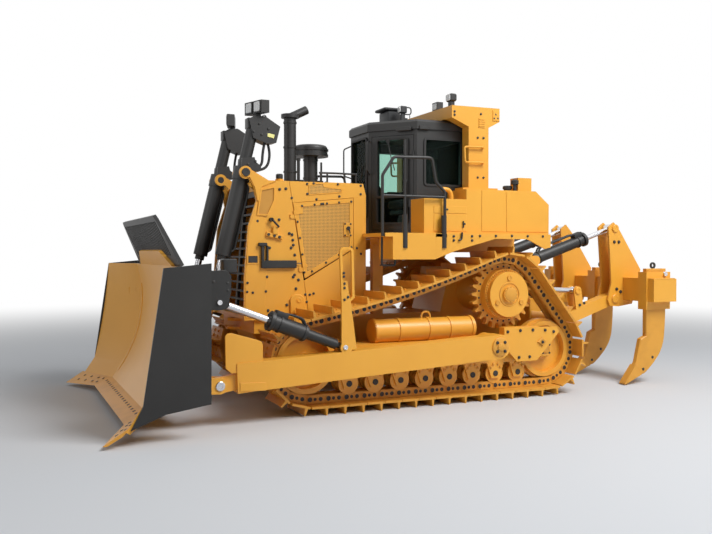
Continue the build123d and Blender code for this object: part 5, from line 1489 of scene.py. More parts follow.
@dataclass
class GuardTrim:
    """Fasteners, cover plates, tow hook plate and pipes on the radiator guard's sides."""

    face: float = 0.760
    strip: tuple = (
        (2.274, 1.13), (2.274, 1.60), (2.226, 2.24), (2.150, 2.44), (2.015, 2.34), (2.005, 1.60),
        (2.030, 1.30), (1.980, 1.13),
    )
    horn: tuple = (
        (2.120, 2.555), (2.155, 2.72), (2.215, 2.838), (2.312, 2.858), (2.312, 2.928), (2.223, 2.936),
        (1.985, 2.806), (1.880, 2.806), (2.060, 2.735), (2.098, 2.555),
    )
    recess: tuple = (
        (2.080, 2.700), (1.892, 2.745), (1.898, 2.568), (1.985, 2.380), (2.130, 2.380), (2.098, 2.575),
    )
    lug: tuple = (
        (1.700, 1.16), (1.705, 1.343), (1.680, 1.385), (1.630, 1.410), (1.565, 1.402), (1.520, 1.365),
        (1.500, 1.236), (1.500, 1.16),
    )
    lug_pin: tuple = (1.590, 1.335)
    hook: tuple = ((2.010, 2.183), (1.805, 2.141), (1.805, 2.085), (2.016, 2.127))
    window: tuple = ((2.239, 1.887), (2.120, 1.887), (2.120, 1.802), (2.239, 1.803))
    window_rim: tuple = ((2.252, 1.90), (2.107, 1.90), (2.107, 1.789), (2.252, 1.789))
    # Low and high X, depth, low and high Z of the duct's four parts
    ducts: tuple = (
        (1.625, 2.079, 0.040, 1.736, 1.831),
        (2.046, 2.079, 0.040, 1.825, 2.012),
        (1.990, 2.012, 0.040, 1.825, 2.012),
        (2.008, 2.116, 0.052, 2.006, 2.048),
    )
    bolts: tuple = (
        (1.832, 2.709), (1.752, 2.718), (1.841, 2.334), (1.964, 1.985), (1.708, 2.165), (1.672, 2.150),
        (1.662, 2.083), (1.655, 2.022), (1.685, 1.986), (1.636, 1.898), (1.639, 1.649), (1.657, 1.625),
        (1.588, 1.586), (1.621, 1.477), (1.741, 1.278), (1.985, 1.215), (2.016, 1.451), (1.999, 1.630),
        (2.248, 1.560), (2.252, 1.450), (2.180, 1.440),
    )
    holes: tuple = ((2.118, 0, 2.313), (1.985, 0.034, 2.150), (1.912, 0.034, 2.134), (1.846, 0.034, 2.118))
    grille_normal: tuple = (0.99656, 0.0, 0.08277)

    def build(self) -> None:
        """Makes every group of small pieces on the guard."""
        self.covers()
        self.pipes()
        self.fasteners()

    def covers(self) -> None:
        """Cover plates whose edges draw the seams: front strip, horn edge, recess rim and arched lug."""
        face = self.face
        shapes = [
            side_panel(self.strip, face, 0.006, 0.002),
            side_panel(self.horn, face, 0.014, 0.004),
            rim_panel(self.recess, 0.016, face, 0.016),
            side_panel(self.lug, face, 0.030, 0.008),
            side_panel(self.hook, face, 0.034, 0.006),
            studded(cap(0.032, 0.010), [self.lug_pin], face + 0.030),
            slab((1.865, 1.930), (face, face + 0.045), (2.150, 2.245)),
        ]
        pair("guard_covers", YELLOW_ENAMEL, *shapes)
        # A darker panel inside the recess rim: painted shade of the pressed recess
        pair("guard_recess_shades", PAINTED_SHADE_ENAMEL, side_panel(self.recess, face, 0.003, 0.001))
        pair("guard_windows", MOULDED_ABS, side_panel(self.window, face, 0.009), slot=Slot.PLASTIC)
        pair("guard_window_rims", YELLOW_ENAMEL, rim_panel(self.window_rim, 0.012, face, 0.014))

    def pipes(self) -> None:
        """The black angled duct with its pair of risers, and the hook's lever."""
        f = self.face + 0.006
        shapes = [slab((x0, x1), (f, f + depth), (z0, z1)) for x0, x1, depth, z0, z1 in self.ducts]
        shapes += [
            swept([(1.63, f + 0.02, 1.795), (1.59, f + 0.02, 1.795), (1.555, f + 0.02, 1.79)], 0.006, 8),
            swept([(1.944, f + 0.05, 2.328), (1.90, f + 0.05, 2.284), (1.859, f + 0.05, 2.242)], 0.013),
            placed(cap(0.026, 0.052, 16), (1.950, f, 2.332), LEFT),
        ]
        pair("guard_ducts", BLACK_POWDER, *shapes, slot=Slot.BLACK)

    def fasteners(self) -> None:
        """Bolt heads and plugs over the guard's side, and a row down each side of the grille's frame."""
        pair("guard_bolts", DARK_IRON, studded(bolt(0.030), self.bolts, self.face))
        holes = np.array(self.holes) + [0, self.face, 0]
        pair("guard_holes", DARK_IRON, scattered(dot(0.019, 0.008), holes, LEFT))
        rows = [np.linspace((2.186, y, 1.22), (2.067, y, 2.65), 10) for y in (-0.685, 0.685)]
        bolts = scattered(bolt(0.026), np.concatenate(rows), self.grille_normal)
        piece("grille_bolts", DARK_IRON, bolts, slot=Slot.BLACK)


@dataclass
class HoodTrim:
    """Fasteners, screens and rails on the hood, and fittings on its top."""

    face: float = 0.758
    top: float = 2.815
    bolts: tuple = (
        (1.674, 2.606), (1.469, 2.788), (1.382, 2.797), (1.052, 2.797), (0.733, 2.790), (0.733, 2.680),
        (1.467, 2.663), (1.344, 2.598), (1.032, 2.643), (1.496, 1.402), (1.436, 1.398), (1.385, 1.412),
        (1.478, 1.308), (0.787, 1.985), (0.73, 1.91),
    )
    vent: tuple = (
        (1.448, 2.775), (1.359, 2.778), (1.352, 2.800), (1.255, 2.800), (1.236, 2.760), (0.995, 2.740),
        (0.995, 2.695), (1.448, 2.650),
    )
    rear_panel: tuple = ((0.835, 2.615), (0.700, 2.628), (0.700, 2.08), (0.835, 1.99))
    rail: tuple = ((1.245, 0.60, 2.950), (0.980, 0.60, 2.952), (0.715, 0.60, 2.948))
    rail_posts: tuple = (1.225, 1.135, 0.891, 0.730)
    lid_bolts: tuple = (
        (1.39, -0.59), (1.63, -0.59), (1.39, 0.02), (1.63, 0.02), (0.81, 0.13), (1.17, 0.13), (0.81, 0.63),
        (1.17, 0.63),
    )
    filler: tuple = (1.765, 0.55)
    # Place, radius and facets of each band on the exhaust stack and the air cleaner
    stack_bands: tuple = (
        ((1.517, 0.250, 2.98), 0.080, 32),
        ((1.517, 0.250, 3.30), 0.080, 32),
        ((1.517, 0.250, 3.62), 0.080, 32),
        ((1.060, -0.200, 2.95), 0.097, 32),
        ((1.060, -0.200, 3.20), 0.097, 32),
        ((1.060, -0.200, 3.335), 0.240, 48),
    )

    def build(self) -> None:
        """Makes the sides' pieces and the top's pieces."""
        pair("hood_bolts", DARK_IRON, studded(bolt(0.026), self.bolts, self.face))
        pair("hood_vents", PERFORATED_SHEET, side_panel(self.vent, self.face, 0.003, 0.001))
        rims = [
            rim_panel(self.vent, 0.010, self.face, 0.008),
            side_panel(self.rear_panel, self.face, 0.005, 0.002),
        ]
        pair("hood_rims", YELLOW_ENAMEL, *rims)
        self.top_fittings()

    def top_fittings(self) -> None:
        """Grab rails, service lids and the small pipe between the stack and the air cleaner."""
        rails = [swept(rounded_path(self.rail, 0.05), 0.013)]
        rails += [swept([(x, 0.60, z) for z in (2.812, 2.88, 2.952)], 0.012) for x in self.rail_posts]
        pair("hood_rails", BLACK_POWDER, *rails, slot=Slot.BLACK)
        lids = [
            slab((1.36, 1.66), (-0.62, 0.05), (self.top, self.top + 0.012)),
            slab((0.78, 1.20), (0.10, 0.66), (self.top, self.top + 0.012)),
            placed(turned([0.055, 0.055, 0.030], [0, 0.035, 0.045]), (*self.filler, self.top), UP),
        ]
        piece("hood_lids", YELLOW_ENAMEL, *lids)
        spots = [(x, y, self.top + 0.012) for x, y in self.lid_bolts]
        piece("lid_bolts", DARK_IRON, scattered(bolt(0.022), spots, UP))
        bands = [
            placed(hoop(radius, (-0.004, 0.008), 0.012, sides), place, UP)
            for place, radius, sides in self.stack_bands
        ]
        pipe = turned([0.030, 0.030, 0.022, 0.022, 0.030, 0.030], [0, 0.03, 0.03, 0.35, 0.35, 0.38], 16)
        lid = turned([0.045, 0.045, 0.030], [0, 0.05, 0.06], 20)
        bands += [placed(pipe, (1.31, 0.0, self.top), UP), placed(lid, (*self.filler, self.top + 0.045), UP)]
        piece("stack_bands", BLACK_POWDER, *bands, slot=Slot.BLACK)


@dataclass
class EngineDoorTrim:
    """Frame, perforated screen, bolts and latch of the engine's side doors."""

    face: float = 0.758
    outline: tuple = ((1.655, 2.536), (1.508, 1.612), (0.845, 1.984), (0.845, 2.618))
    gusset: tuple = ((1.630, 2.510), (1.612, 2.405), (1.530, 2.415), (1.538, 2.520))
    latch_plate: tuple = ((0.975, 2.310), (0.862, 2.310), (0.862, 2.132), (0.975, 2.132))
    bolts: tuple = (
        (1.542, 2.510), (1.373, 2.531), (1.283, 2.541), (1.259, 2.543), (1.206, 2.549), (1.039, 2.566),
        (0.87, 2.58), (1.601, 2.312), (1.569, 2.11), (1.538, 1.906), (1.512, 1.68), (1.41, 1.692),
        (1.22, 1.800), (1.041, 1.900), (0.868, 1.996),
    )
    latch_bolts: tuple = ((0.958, 2.294), (0.880, 2.294), (0.958, 2.148), (0.880, 2.148))
    latch_lever: tuple = ((0.915, 0.034, 2.235), (0.905, 0.036, 2.205), (0.898, 0.034, 2.172))

    def build(self) -> None:
        """Makes the same pieces for the left door and, mirrored, for the right one."""
        face = self.face
        frames = [
            rim_panel(self.outline, 0.046, face, 0.010),
            side_panel(self.gusset, face, 0.012, 0.003),
            side_panel(self.latch_plate, face, 0.014, 0.004),
        ]
        screen = stood_on_side(plate(inset(drawn_on_side(self.outline), 0.04), 0.003, 0.001), face)
        latch = [
            studded(bolt(0.020), self.latch_bolts, face + 0.014),
            placed(cap(0.026, 0.020, 20), (0.915, face + 0.014, 2.238), LEFT),
            swept(np.array(self.latch_lever) + [0, face, 0], 0.008),
        ]
        for name, finish, shape in (
            ("frames", YELLOW_ENAMEL, joined(frames)),
            ("screens", PERFORATED_SHEET, screen),
            ("bolts", DARK_IRON, studded(bolt(0.024), self.bolts, face + 0.010)),
            ("latches", DARK_IRON, joined(latch)),
        ):
            piece(f"engine_door_{name}_left", finish, shape, body=Body.ENGINE_DOOR_LEFT)
            piece(f"engine_door_{name}_right", finish, mirrored(shape), body=Body.ENGINE_DOOR_RIGHT)


@dataclass
class CabTrim:
    """Window gaskets, door fittings, roof items and rails of the cab.

    Attributes:
        half_width: Y of the side walls.
        door_out: the direction out of the left door, in X and Y.
        post: X and Y of the left door's front post.
    """

    half_width: float = 0.842
    door_out: tuple = (0.7668, 0.6419)
    post: tuple = (0.407, 0.300)
    wiper: tuple = ((0.425, -0.02, 2.52), (0.430, 0.05, 2.78), (0.425, 0.16, 3.12))
    rear_wiper: tuple = ((-0.842, 0.10, 3.40), (-0.846, 0.02, 3.22), (-0.842, -0.10, 3.02))
    door_grip: tuple = ((0.02, 2.46), (0.062, 2.49), (0.062, 2.86), (0.02, 2.89))
    door_wiper: tuple = ((0.30, 3.41), (0.345, 3.20), (0.40, 3.02))
    # Spans in X, Y and Z and the chamfer of each block on the roof
    roof_blocks: tuple = (
        ((-0.053, 0.135), (0.050, 0.350), (3.690, 3.872), 0.02),
        ((-0.066, 0.200), (0.035, 0.365), (3.868, 3.905), 0.012),
        ((-0.054, 0.043), (0.455, 0.545), (3.810, 3.905), 0.010),
        ((-0.035, 0.020), (0.480, 0.520), (3.690, 3.815), 0.004),
    )
    aerial: tuple = ((-0.60, -0.42, 3.69), (-0.60, -0.42, 3.82), (-0.60, -0.42, 3.965))
    lamp_hoop: tuple = ((-0.04, 0.5, 3.80), (-0.135, 0.5, 3.80), (-0.135, 0.5, 3.895), (-0.04, 0.5, 3.895))
    front_rail: tuple = (
        (0.398, -0.298, 3.44), (0.475, -0.40, 3.40), (0.475, -0.40, 3.02), (0.398, -0.298, 2.98),
    )

    def on_door(self, along: float, out: float, z: float) -> tuple:
        """A point on the left door's slanted plane.

        Args:
            along: distance back from the door's front post.
            out: distance out of the plane.
            z: height.

        Returns:
            The point in the row frame.
        """
        ahead, side = self.door_out
        return (self.post[0] - side * along + ahead * out, self.post[1] + ahead * along + side * out, z)

    def build(self) -> None:
        """Makes the gaskets, the doors' fittings, the roof's items and the brackets."""
        self.gaskets()
        self.door_fittings()
        self.roof_items()
        self.brackets()

    def gaskets(self) -> None:
        """Rubber frames round every pane: a rounded rectangle's band on each wall."""
        side, rear, front = (
            frame_of(rounded_rectangle(height, width, 0.05), 0.028, 0.012)
            for height, width in ((0.64, 0.59), (0.64, 1.44), (1.10, 0.52))
        )
        panes = [
            both_sides(placed(side, (-0.440, self.half_width, 3.130), LEFT)),
            placed(rear, (-0.832, 0.0, 3.130), BEHIND),
            placed(front, (0.412, 0.0, 2.950), AHEAD),
        ]
        piece("window_gaskets", HOSE_RUBBER, *panes, slot=Slot.BLACK)
        motor = placed(cap(0.028, 0.03, 16), (0.414, -0.02, 2.50), AHEAD)
        wipers = [swept(self.wiper, 0.008, 6), motor, swept(self.rear_wiper, 0.008, 6)]
        piece("window_wipers", MOULDED_ABS, *wipers, slot=Slot.BLACK)

    def door_fittings(self) -> None:
        """Gasket, middle bar, handle, grab bar and wiper of each door."""
        out = (*self.door_out, 0.0)
        band = frame_of(rounded_rectangle(1.15, 0.472, 0.05), 0.026, 0.012)
        gasket = placed(band, self.on_door(0.352, 0.018, 2.880), out)
        bar = plate(rounded_rectangle(0.035, 0.44, 0.01, 3), 0.022, 0.004)
        lock = plate(rounded_rectangle(0.11, 0.065, 0.012, 3), 0.026, 0.006)
        grip = [self.on_door(0.565, reach, z) for reach, z in self.door_grip]
        shapes = [
            placed(bar, self.on_door(0.352, 0.016, 2.672), out),
            swept(rounded_path(grip, 0.03), 0.011),
            placed(lock, self.on_door(0.628, 0.014, 2.58), out),
            swept([self.on_door(along, 0.034, z) for along, z in self.door_wiper], 0.007, 6),
            placed(cap(0.026, 0.026, 16), self.on_door(0.30, 0.014, 3.41), out),
        ]
        fittings = joined(shapes)
        piece("door_gasket_left", HOSE_RUBBER, gasket, body=Body.CAB_DOOR_LEFT, slot=Slot.BLACK)
        piece("door_fittings_left", BLACK_POWDER, fittings, body=Body.CAB_DOOR_LEFT, slot=Slot.BLACK)
        gasket, fittings = mirrored(gasket), mirrored(fittings)
        piece("door_gasket_right", HOSE_RUBBER, gasket, body=Body.CAB_DOOR_RIGHT, slot=Slot.BLACK)
        piece("door_fittings_right", BLACK_POWDER, fittings, body=Body.CAB_DOOR_RIGHT, slot=Slot.BLACK)

    def roof_items(self) -> None:
        """Air inlet, lamp on its foot with a hoop behind it, and aerial on the cab's roof."""
        items = [slab(*block) for block in self.roof_blocks]
        items += [
            swept(self.aerial, 0.006, 6),
            placed(cap(0.022, 0.03, 16), (-0.60, -0.42, 3.688), UP),
            swept(rounded_path(self.lamp_hoop, 0.04), 0.009, 8),
        ]
        piece("roof_items", MOULDED_ABS, *items, slot=Slot.PLASTIC)
        lens = plate(rounded_rectangle(0.075, 0.072, 0.012, 3), 0.012, 0.003)
        piece("roof_lamp_lens", LAMP_LENS, placed(lens, (0.041, 0.500, 3.858), AHEAD), slot=Slot.PLASTIC)

    def brackets(self) -> None:
        """Brackets over the doors and the grab rails beside the windscreen."""
        over_door = plate(rounded_rectangle(0.052, 0.21, 0.010, 3), 0.047, 0.004)
        items = [
            placed(over_door, self.on_door(0.530, 0.016, 3.563), (*self.door_out, 0.0)),
            slab((-0.220, -0.062), (0.838, 0.880), (3.546, 3.606), 0.010),
            swept(rounded_path(self.front_rail, 0.03), 0.010),
        ]
        pair("cab_brackets", BLACK_POWDER, *items, slot=Slot.BLACK)


@dataclass
class SeatCushions:
    """The operator's seat: woven cushions on a moulded pedestal with arm rests.

    A cushion is a superellipsoid: each coordinate is a sine or cosine raised to a small power,
    which squares the pillow's corners, and its top swells a little in the middle.

    Attributes:
        squareness: that small power; the nearer to 0, the squarer the cushion.
        rings: rows of points from pole to pole.
        sides: points in a row.
        lean_deg: how far the back leans from upright.
        fill: how full the cushions are stuffed; not used.
        cushions: name, middle, half sizes, swell, and whether it leans with the back.
        shell: spans in X, Y and Z and the chamfer of each block of the frame; the pedestal's
            two blocks come after it, as they stand on the solid seat's own floor.
    """

    squareness: float = 0.32
    rings: int = 25
    sides: int = 48
    lean_deg: float = 8.0
    fill: float = 0.8
    cushions: tuple = (
        ("seat_base_cushion", (-0.400, 0.0, 2.600), (0.270, 0.270, 0.070), 0.018, False),
        ("seat_back_cushion", (-0.660, 0.0, 2.960), (0.330, 0.255, 0.065), 0.018, True),
        ("seat_head_cushion", (-0.722, 0.0, 3.345), (0.075, 0.140, 0.050), 0.010, True),
    )
    shell: tuple = ((-0.66, -0.16), (-0.25, 0.25), (2.46, 2.535), 0.015)

    def eased(self, value: np.ndarray) -> np.ndarray:
        """The value's sign times its size to the power of the squareness."""
        return np.sign(value) * np.abs(value) ** self.squareness

    def cushion(self, centre: tuple, half: tuple, swell: float, lean: float) -> Shape:
        """One crowned cushion, leaning back about Y.

        Args:
            centre: its middle.
            half: half sizes along its own X, Y and Z.
            swell: how much the middle stands above the rims.
            lean: angle back from upright in radians.

        Returns:
            The closed cushion.
        """
        v = np.linspace(-math.pi / 2, math.pi / 2, self.rings)[1:-1, None]
        u = np.arange(self.sides)[None, :] * 2 * math.pi / self.sides
        x = self.eased(np.cos(v)) * self.eased(np.cos(u)) * half[0]
        y = self.eased(np.cos(v)) * self.eased(np.sin(u)) * half[1]
        z = (self.eased(np.sin(v)) + 0 * u) * half[2]
        z = z + swell * (1 - (x / half[0]) ** 2) * (1 - (y / half[1]) ** 2) * np.sign(z)
        poles = [[0, 0, -half[2] - swell], [0, 0, half[2] + swell]]
        closed = capped(grid(np.stack([x, y, z], axis=2)), self.sides, poles)
        cos, sin = math.cos(lean), math.sin(lean)
        turn = np.array([[cos, 0, sin], [0, 1, 0], [-sin, 0, cos]])
        return Shape(closed.vertices @ turn + np.asarray(centre, float), closed.faces)

    def build(self) -> None:
        """Makes the cushions, the shell and the arm rests in place of the seat's solid."""
        lean = math.radians(90 - self.lean_deg)
        made = []
        for name, centre, half, swell, leans in self.cushions:
            shape = self.cushion(centre, half, swell, lean if leans else 0.0)
            made.append(piece(name, SEAT_WEAVE, shape, slot=Slot.CLOTH))
        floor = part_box("operator_seat")[0][2]
        shell = [
            slab(*self.shell),
            slab((-0.58, -0.26), (-0.18, 0.18), (floor, 2.47), 0.02),
            slab((-0.64, -0.20), (-0.23, 0.23), (floor, floor + 0.04), 0.01),
        ]
        for side in (-1, 1):
            rest, post = side * 0.325, side * 0.30
            shell.append(slab((-0.62, -0.18), (rest - 0.04, rest + 0.04), (2.75, 2.81), 0.015))
            shell.append(slab((-0.60, -0.54), (post - 0.03, post + 0.03), (2.50, 2.76), 0.008))
        made.insert(0, piece("seat_frame", MOULDED_ABS, *shell, slot=Slot.PLASTIC))
        for part in made:
            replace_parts(part, "operator_seat")


@dataclass
class RoofFrameTrim:
    """Bolts, handle and lamps of the roll-over frame."""

    face: float = 1.050
    low_rib: tuple = ((-0.863, 3.595), (-0.960, 3.595), (-0.960, 3.720), (-0.863, 3.720))
    high_rib: tuple = ((-1.084, 3.699), (-1.190, 3.699), (-1.190, 3.840), (-1.084, 3.840))
    louvres: tuple = (3.61, 3.64, 3.67, 3.70)
    handle: tuple = (
        (-0.935, 1.088, 3.333), (-0.620, 1.088, 3.325), (-0.632, 1.088, 3.120), (-0.935, 1.088, 3.128),
    )
    bolts: tuple = (
        (-0.898, 3.777), (-0.491, 3.786), (-0.491, 3.742), (-1.129, 3.785), (-1.104, 3.731),
        (-1.161, 3.735), (-0.842, 2.768), (-0.938, 2.768), (-1.071, 2.768), (-0.85, 3.46), (-0.94, 3.46),
        (-0.85, 2.93), (-0.94, 2.93),
    )

    def build(self) -> None:
        """Makes the frame's pads, bolts, handles and lamps."""
        shapes = [
            side_panel(self.low_rib, self.face, 0.008, 0.002),
            side_panel(self.high_rib, self.face, 0.010, 0.003),
        ]
        for z in self.louvres:
            louvre = [(-0.868, z), (-0.955, z), (-0.955, z + 0.012), (-0.868, z + 0.012)]
            shapes.append(side_panel(louvre, self.face + 0.008, 0.006, 0.001))
        shapes.append(swept(rounded_path(self.handle, 0.035), 0.013))
        foot = turned([0.02, 0.02], [0, 0.05], 12)
        shapes += [placed(foot, (-0.925, self.face, z), LEFT) for z in (3.333, 3.128)]
        pair("roof_frame_pads", YELLOW_ENAMEL, *shapes)
        pair("roof_frame_bolts", DARK_IRON, studded(bolt(0.026), self.bolts, self.face))
        self.lamps()

    def lamps(self) -> None:
        """Corner lamps on their brackets and lenses on every work lamp."""
        foot = slab((-0.530, -0.470), (0.91, 0.99), (3.860, 3.935))
        lamp = slab((-0.548, -0.452), (0.885, 1.015), (3.928, 4.030), 0.016)
        pair("corner_lamps", BLACK_POWDER, foot, lamp, slot=Slot.BLACK)
        lens = plate(rounded_rectangle(0.082, 0.108, 0.018), 0.010, 0.003)
        spots = [(-0.454, 0.95, 3.979), (-0.472, 0.56, 3.922)]
        pair("work_lamp_lenses", LAMP_LENS, scattered(lens, spots, AHEAD), slot=Slot.PLASTIC)
        rear = slab((-1.245, -1.185), (0.52, 0.66), (3.60, 3.72), 0.012)
        pair("rear_lamps", BLACK_POWDER, rear, slot=Slot.BLACK)
        lens = placed(lens, (-1.244, 0.59, 3.66), BEHIND)
        pair("rear_lamp_lenses", LAMP_LENS, lens, slot=Slot.PLASTIC)


@dataclass
class TankTrim:
    """Panels, latches, fillers and steps of the side tanks, the tool boxes and the fenders."""

    tank_face: float = 1.350
    fender_face: float = 1.430
    panels: tuple = (
        ((-0.720, 2.20), (-0.720, 2.735), (-1.078, 2.735), (-1.088, 2.20)),
        ((-1.098, 2.735), (-1.560, 2.735), (-1.770, 2.560), (-1.770, 2.20), (-1.106, 2.20)),
        ((-0.490, 2.428), (-0.490, 2.520), (-0.010, 2.520), (-0.010, 2.428)),
        ((-0.490, 2.20), (-0.490, 2.415), (-0.010, 2.415), (-0.010, 2.20)),
    )
    pipe: tuple = (
        (-0.250, 1.15, 2.750), (-0.345, 1.15, 2.745), (-0.385, 1.15, 2.680), (-0.385, 1.15, 2.540),
    )
    web: tuple = ((0.004, 2.165), (-0.160, 2.165), (-0.160, 1.949), (-0.281, 1.949), (0.004, 1.846))
    fender_bolts: tuple = (
        (-0.255, 2.134), (-0.255, 2.082), (-0.525, 2.136), (-0.525, 2.082), (-0.645, 2.141),
        (-0.887, 2.143), (-1.135, 2.145), (-1.386, 2.144), (-1.63, 2.143),
    )
    box_bolts: tuple = ((-0.461, 2.295), (-0.204, 2.475))
    step_loop: tuple = (
        (0.692, 1.30, 2.135), (0.692, 1.30, 1.770), (0.510, 1.30, 1.770), (0.510, 1.30, 1.860),
    )
    hook: tuple = ((-0.370, 1.445, 2.185), (-0.362, 1.445, 2.092), (-0.321, 1.445, 2.085))
    box_latch: tuple = ((-0.436, 0.012, 2.330), (-0.436, 0.014, 2.290), (-0.436, 0.012, 2.244))
    tank_latch: tuple = ((-0.663, -0.02, 2.555), (-0.663, -0.018, 2.52), (-0.663, -0.02, 2.485))
    rail_sockets: tuple = (0.435, -0.118)

    def build(self) -> None:
        """Makes the side panels, the bolts, the black fittings and the deck plates."""
        panels = [side_panel(outline, self.tank_face, 0.006, 0.002) for outline in self.panels]
        panels += [
            swept(rounded_path(self.pipe, 0.06), 0.030, 16),
            side_panel(self.web, self.fender_face - 0.025, 0.025, 0.001),
        ]
        pair("tank_panels", YELLOW_ENAMEL, *panels)
        bolts = [
            studded(bolt(0.028), self.fender_bolts, self.fender_face),
            studded(bolt(0.022), self.box_bolts, self.tank_face + 0.006),
        ]
        pair("tank_bolts", DARK_IRON, *bolts)
        self.black_fittings()
        self.steps()
        self.tread_plates()

    def steps(self) -> None:
        """The hanging step under each fender's front end."""
        tread = slab((0.525, 0.680), (1.200, 1.312), (1.762, 1.780), 0.004)
        bar = swept(rounded_path(self.step_loop, 0.03), 0.015, 8)
        pair("fender_steps", BLACK_POWDER, bar, tread, slot=Slot.BLACK)

    def black_fittings(self) -> None:
        """Latches, fillers, tie-down hooks and the sockets of the handrails."""
        panel_face = [0, self.tank_face + 0.006, 0]
        latches = [np.array(row) + panel_face for row in (self.box_latch, self.tank_latch)]
        filler = turned([0.05, 0.05, 0.062, 0.062, 0.045], [0, 0.03, 0.03, 0.065, 0.075])
        breather = turned([0.022, 0.022, 0.05, 0.05, 0.03], [0, 0.09, 0.09, 0.14, 0.155], 20)
        shapes = [
            *[swept(latch, 0.009, 8) for latch in latches],
            swept(rounded_path(self.hook, 0.02), 0.012),
            placed(filler, (-1.22, 1.20, 2.745), UP),
            placed(breather, (-1.29, 1.27, 2.745), UP),
            *[swept([(x, 1.42, z) for z in (1.985, 2.19, 2.395)], 0.034, 16) for x in self.rail_sockets],
        ]
        pair("deck_fittings", BLACK_POWDER, *shapes, slot=Slot.BLACK)

    def tread_plates(self) -> None:
        """Raised studs of the anti-slip plates on the fenders beside the cab."""
        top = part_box("fenders")[1][2]
        x, y = np.meshgrid(np.arange(0.08, 0.62, 0.055), np.arange(0.98, 1.40, 0.055))
        spots = np.stack([x, y, np.full_like(x, top)], axis=2)
        stud = turned([0.016, 0.014, 0.008], [0, 0.003, 0.005], 8)
        pair("deck_studs", YELLOW_ENAMEL, scattered(stud, spots, UP))


@dataclass
class RipperTrim:
    """Pin caps, keepers, flange plates, lifting rings and shanks of the ripper."""

    beam_face: float = 0.688
    link_face: float = 0.650
    pockets: tuple = (-1.120, 0.0, 1.120)
    shank_half: float = 0.0437
    tilt_pin: tuple = (-3.523, 2.290)
    beam_pin: tuple = (-3.530, 1.226)
    lift_pin: tuple = (-2.855, 1.360)
    shank_pin: tuple = (-4.000, 1.610)
    beam_bolts: tuple = ((-3.506, 2.086), (-3.593, 2.087), (-3.557, 1.373), (-3.632, 1.331))
    link_bolts: tuple = ((-2.893, 1.147), (-2.972, 1.173))
    heel: tuple = ((-3.600, 0.139), (-3.700, 0.150), (-4.029, 0.476), (-4.0717, 0.900), (-4.0717, 1.690))
    front: tuple = ((-3.6943, 1.690), (-3.6943, 0.700), (-3.593, 0.658), (-3.510, 0.320), (-3.486, 0.288))
    shank_bolts: tuple = ((-3.817, 0.381), (-3.640, 0.215))

    def build(self) -> None:
        """Makes the pieces of the link and of the beam."""
        beam = {"body": Body.RIPPER_BEAM}
        link = {"body": Body.RIPPER_LINK}
        x, z = self.shank_pin
        end = cap(0.035, 0.030, 20)
        ends = [placed(end, (x, y + 0.084, z), LEFT) for y in self.pockets]
        ends += [placed(end, (x, y - 0.084, z), RIGHT) for y in self.pockets]
        piece("shank_pin_ends", CHROME_ROD, *ends, slot=Slot.CHROME, **beam)
        caps = [
            studded(cap(0.060, 0.020), [self.tilt_pin], self.beam_face),
            studded(cap(0.066, 0.020), [self.beam_pin], self.beam_face),
        ]
        pair("beam_pin_caps", YELLOW_ENAMEL, *caps, **beam)
        bolts = studded(bolt(0.040), self.beam_bolts, self.beam_face)
        pair("beam_bolts", DARK_IRON, bolts, slot=Slot.IRON, **beam)
        lift_cap = studded(cap(0.052, 0.018), [self.lift_pin], self.link_face)
        pair("link_pin_caps", YELLOW_ENAMEL, lift_cap, **link)
        bolts = studded(bolt(0.036), self.link_bolts, self.link_face)
        pair("link_bolts", DARK_IRON, bolts, slot=Slot.IRON, **link)
        flange = slab((-4.122, -3.680), (-1.325, 1.325), (1.5385, 1.550), 0.003)
        piece("beam_flanges", YELLOW_ENAMEL, flange, **beam)
        loop = hoop(0.036, (-0.012, 0.012), 0.012, 24)
        rings = [placed(loop, (-3.850, y, 1.735), LEFT) for y in self.pockets]
        piece("beam_rings", DARK_IRON, *rings, slot=Slot.IRON, **beam)
        self.shanks()

    def shanks(self) -> None:
        """Shanks with a rounded heel and drawn-in edges, and their bolts, in place of the plain ones."""
        half = self.shank_half
        outline = np.concatenate([self.front, rounded_path(self.heel, 0.24, 9)])
        forms = [side_panel(outline, y - half, 2 * half, 0.012) for y in self.pockets]
        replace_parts(piece("shank_forms", YELLOW_CASTING, *forms, body=Body.RIPPER_BEAM), "ripper_shanks")
        spots = [(x, y + half, z) for x, z in self.shank_bolts for y in self.pockets]
        holes = scattered(dot(0.022, 0.006), spots, LEFT)
        piece("shank_bolts", DARK_IRON, holes, body=Body.RIPPER_BEAM, slot=Slot.IRON)


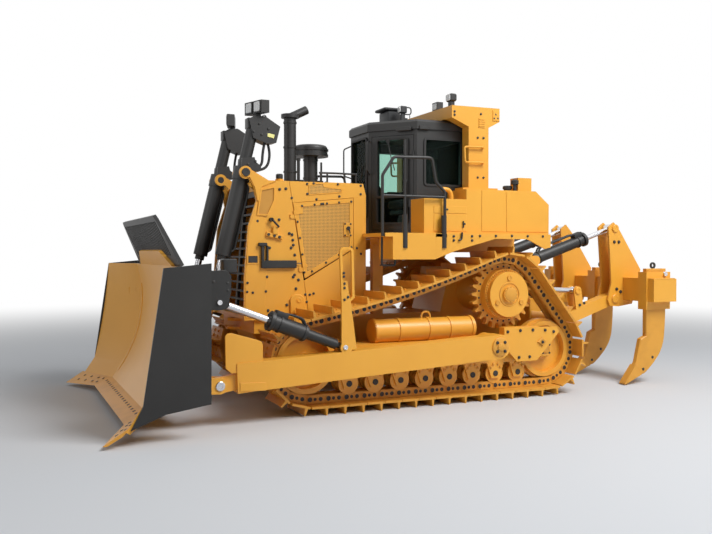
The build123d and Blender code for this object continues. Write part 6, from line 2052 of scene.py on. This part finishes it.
@dataclass
class FinalDriveTrim:
    """The ring of cap screws round each final drive's cover."""

    centre: tuple = (-1.160, 1.275, 1.375)
    ring_radius: float = 0.318
    screws: int = 60

    def build(self) -> None:
        """Makes the screws, evenly round the drum's face."""
        places = circle_points(self.centre, self.ring_radius, self.screws)
        screw = turned([0.011, 0.011, 0.008], [0, 0.014, 0.018], 8)
        pair("drive_screws", YELLOW_CASTING, scattered(screw, places, LEFT))


@dataclass
class BladeEars:
    """The black ear plate beside the blade's end with its pin, and the box on the blade's back."""

    ear_face: float = 1.672
    thickness: float = 0.015
    ear: tuple = (
        (3.285, 1.720), (2.760, 1.740), (2.700, 1.680), (2.700, 1.500), (2.720, 1.420), (2.720, 1.350),
        (2.760, 1.310), (2.840, 1.300), (3.285, 1.340),
    )
    holes: tuple = ((2.895, 1.612), (2.741, 1.598), (2.735, 1.517))
    pin: tuple = (2.835, 1.388)

    def build(self) -> None:
        """Makes the ear plates, their holes, the pins and the boxes."""
        shapes = [
            side_panel(self.ear, self.ear_face, self.thickness),
            slab((2.60, 2.76), (1.42, 1.58), (1.70, 1.86), 0.012),
            slab((2.70, 3.15), (1.47, 1.53), (1.690, 1.715), 0.004),
        ]
        pair("blade_ears", BLACK_POWDER, *shapes, body=Body.BLADE, slot=Slot.BLACK)
        front = self.ear_face + self.thickness
        holes = studded(dot(0.016, 0.005), self.holes, front)
        pair("ear_holes", DARK_IRON, holes, body=Body.BLADE, slot=Slot.IRON)
        pin = studded(cap(0.030, 0.030, 20), [self.pin], front)
        pair("ear_pins", CHROME_ROD, pin, body=Body.BLADE, slot=Slot.CHROME)


def main() -> None:
    """Builds the viewpoint, the studio and then each sub-assembly in order."""
    logging.basicConfig(level=logging.INFO, format="%(name)s %(message)s")
    Viewpoint().build()
    Studio().build()
    dress_nodes()
    assemblies = (
        TrackChain(),
        Undercarriage(),
        PushArmTrim(),
        BladeTrim(),
        LiftHeadTrim(),
        TILT_CYLINDERS,
        RIPPER_TILT,
        RIPPER_LIFT,
        GuardTrim(),
        HoodTrim(),
        EngineDoorTrim(),
        CabTrim(),
        SeatCushions(),
        RoofFrameTrim(),
        TankTrim(),
        RipperTrim(),
        FinalDriveTrim(),
        BladeEars(),
    )
    for assembly in assemblies:
        LOG.info("building %s", type(assembly).__name__)
        assembly.build()


if __name__ == "__main__":
    main()
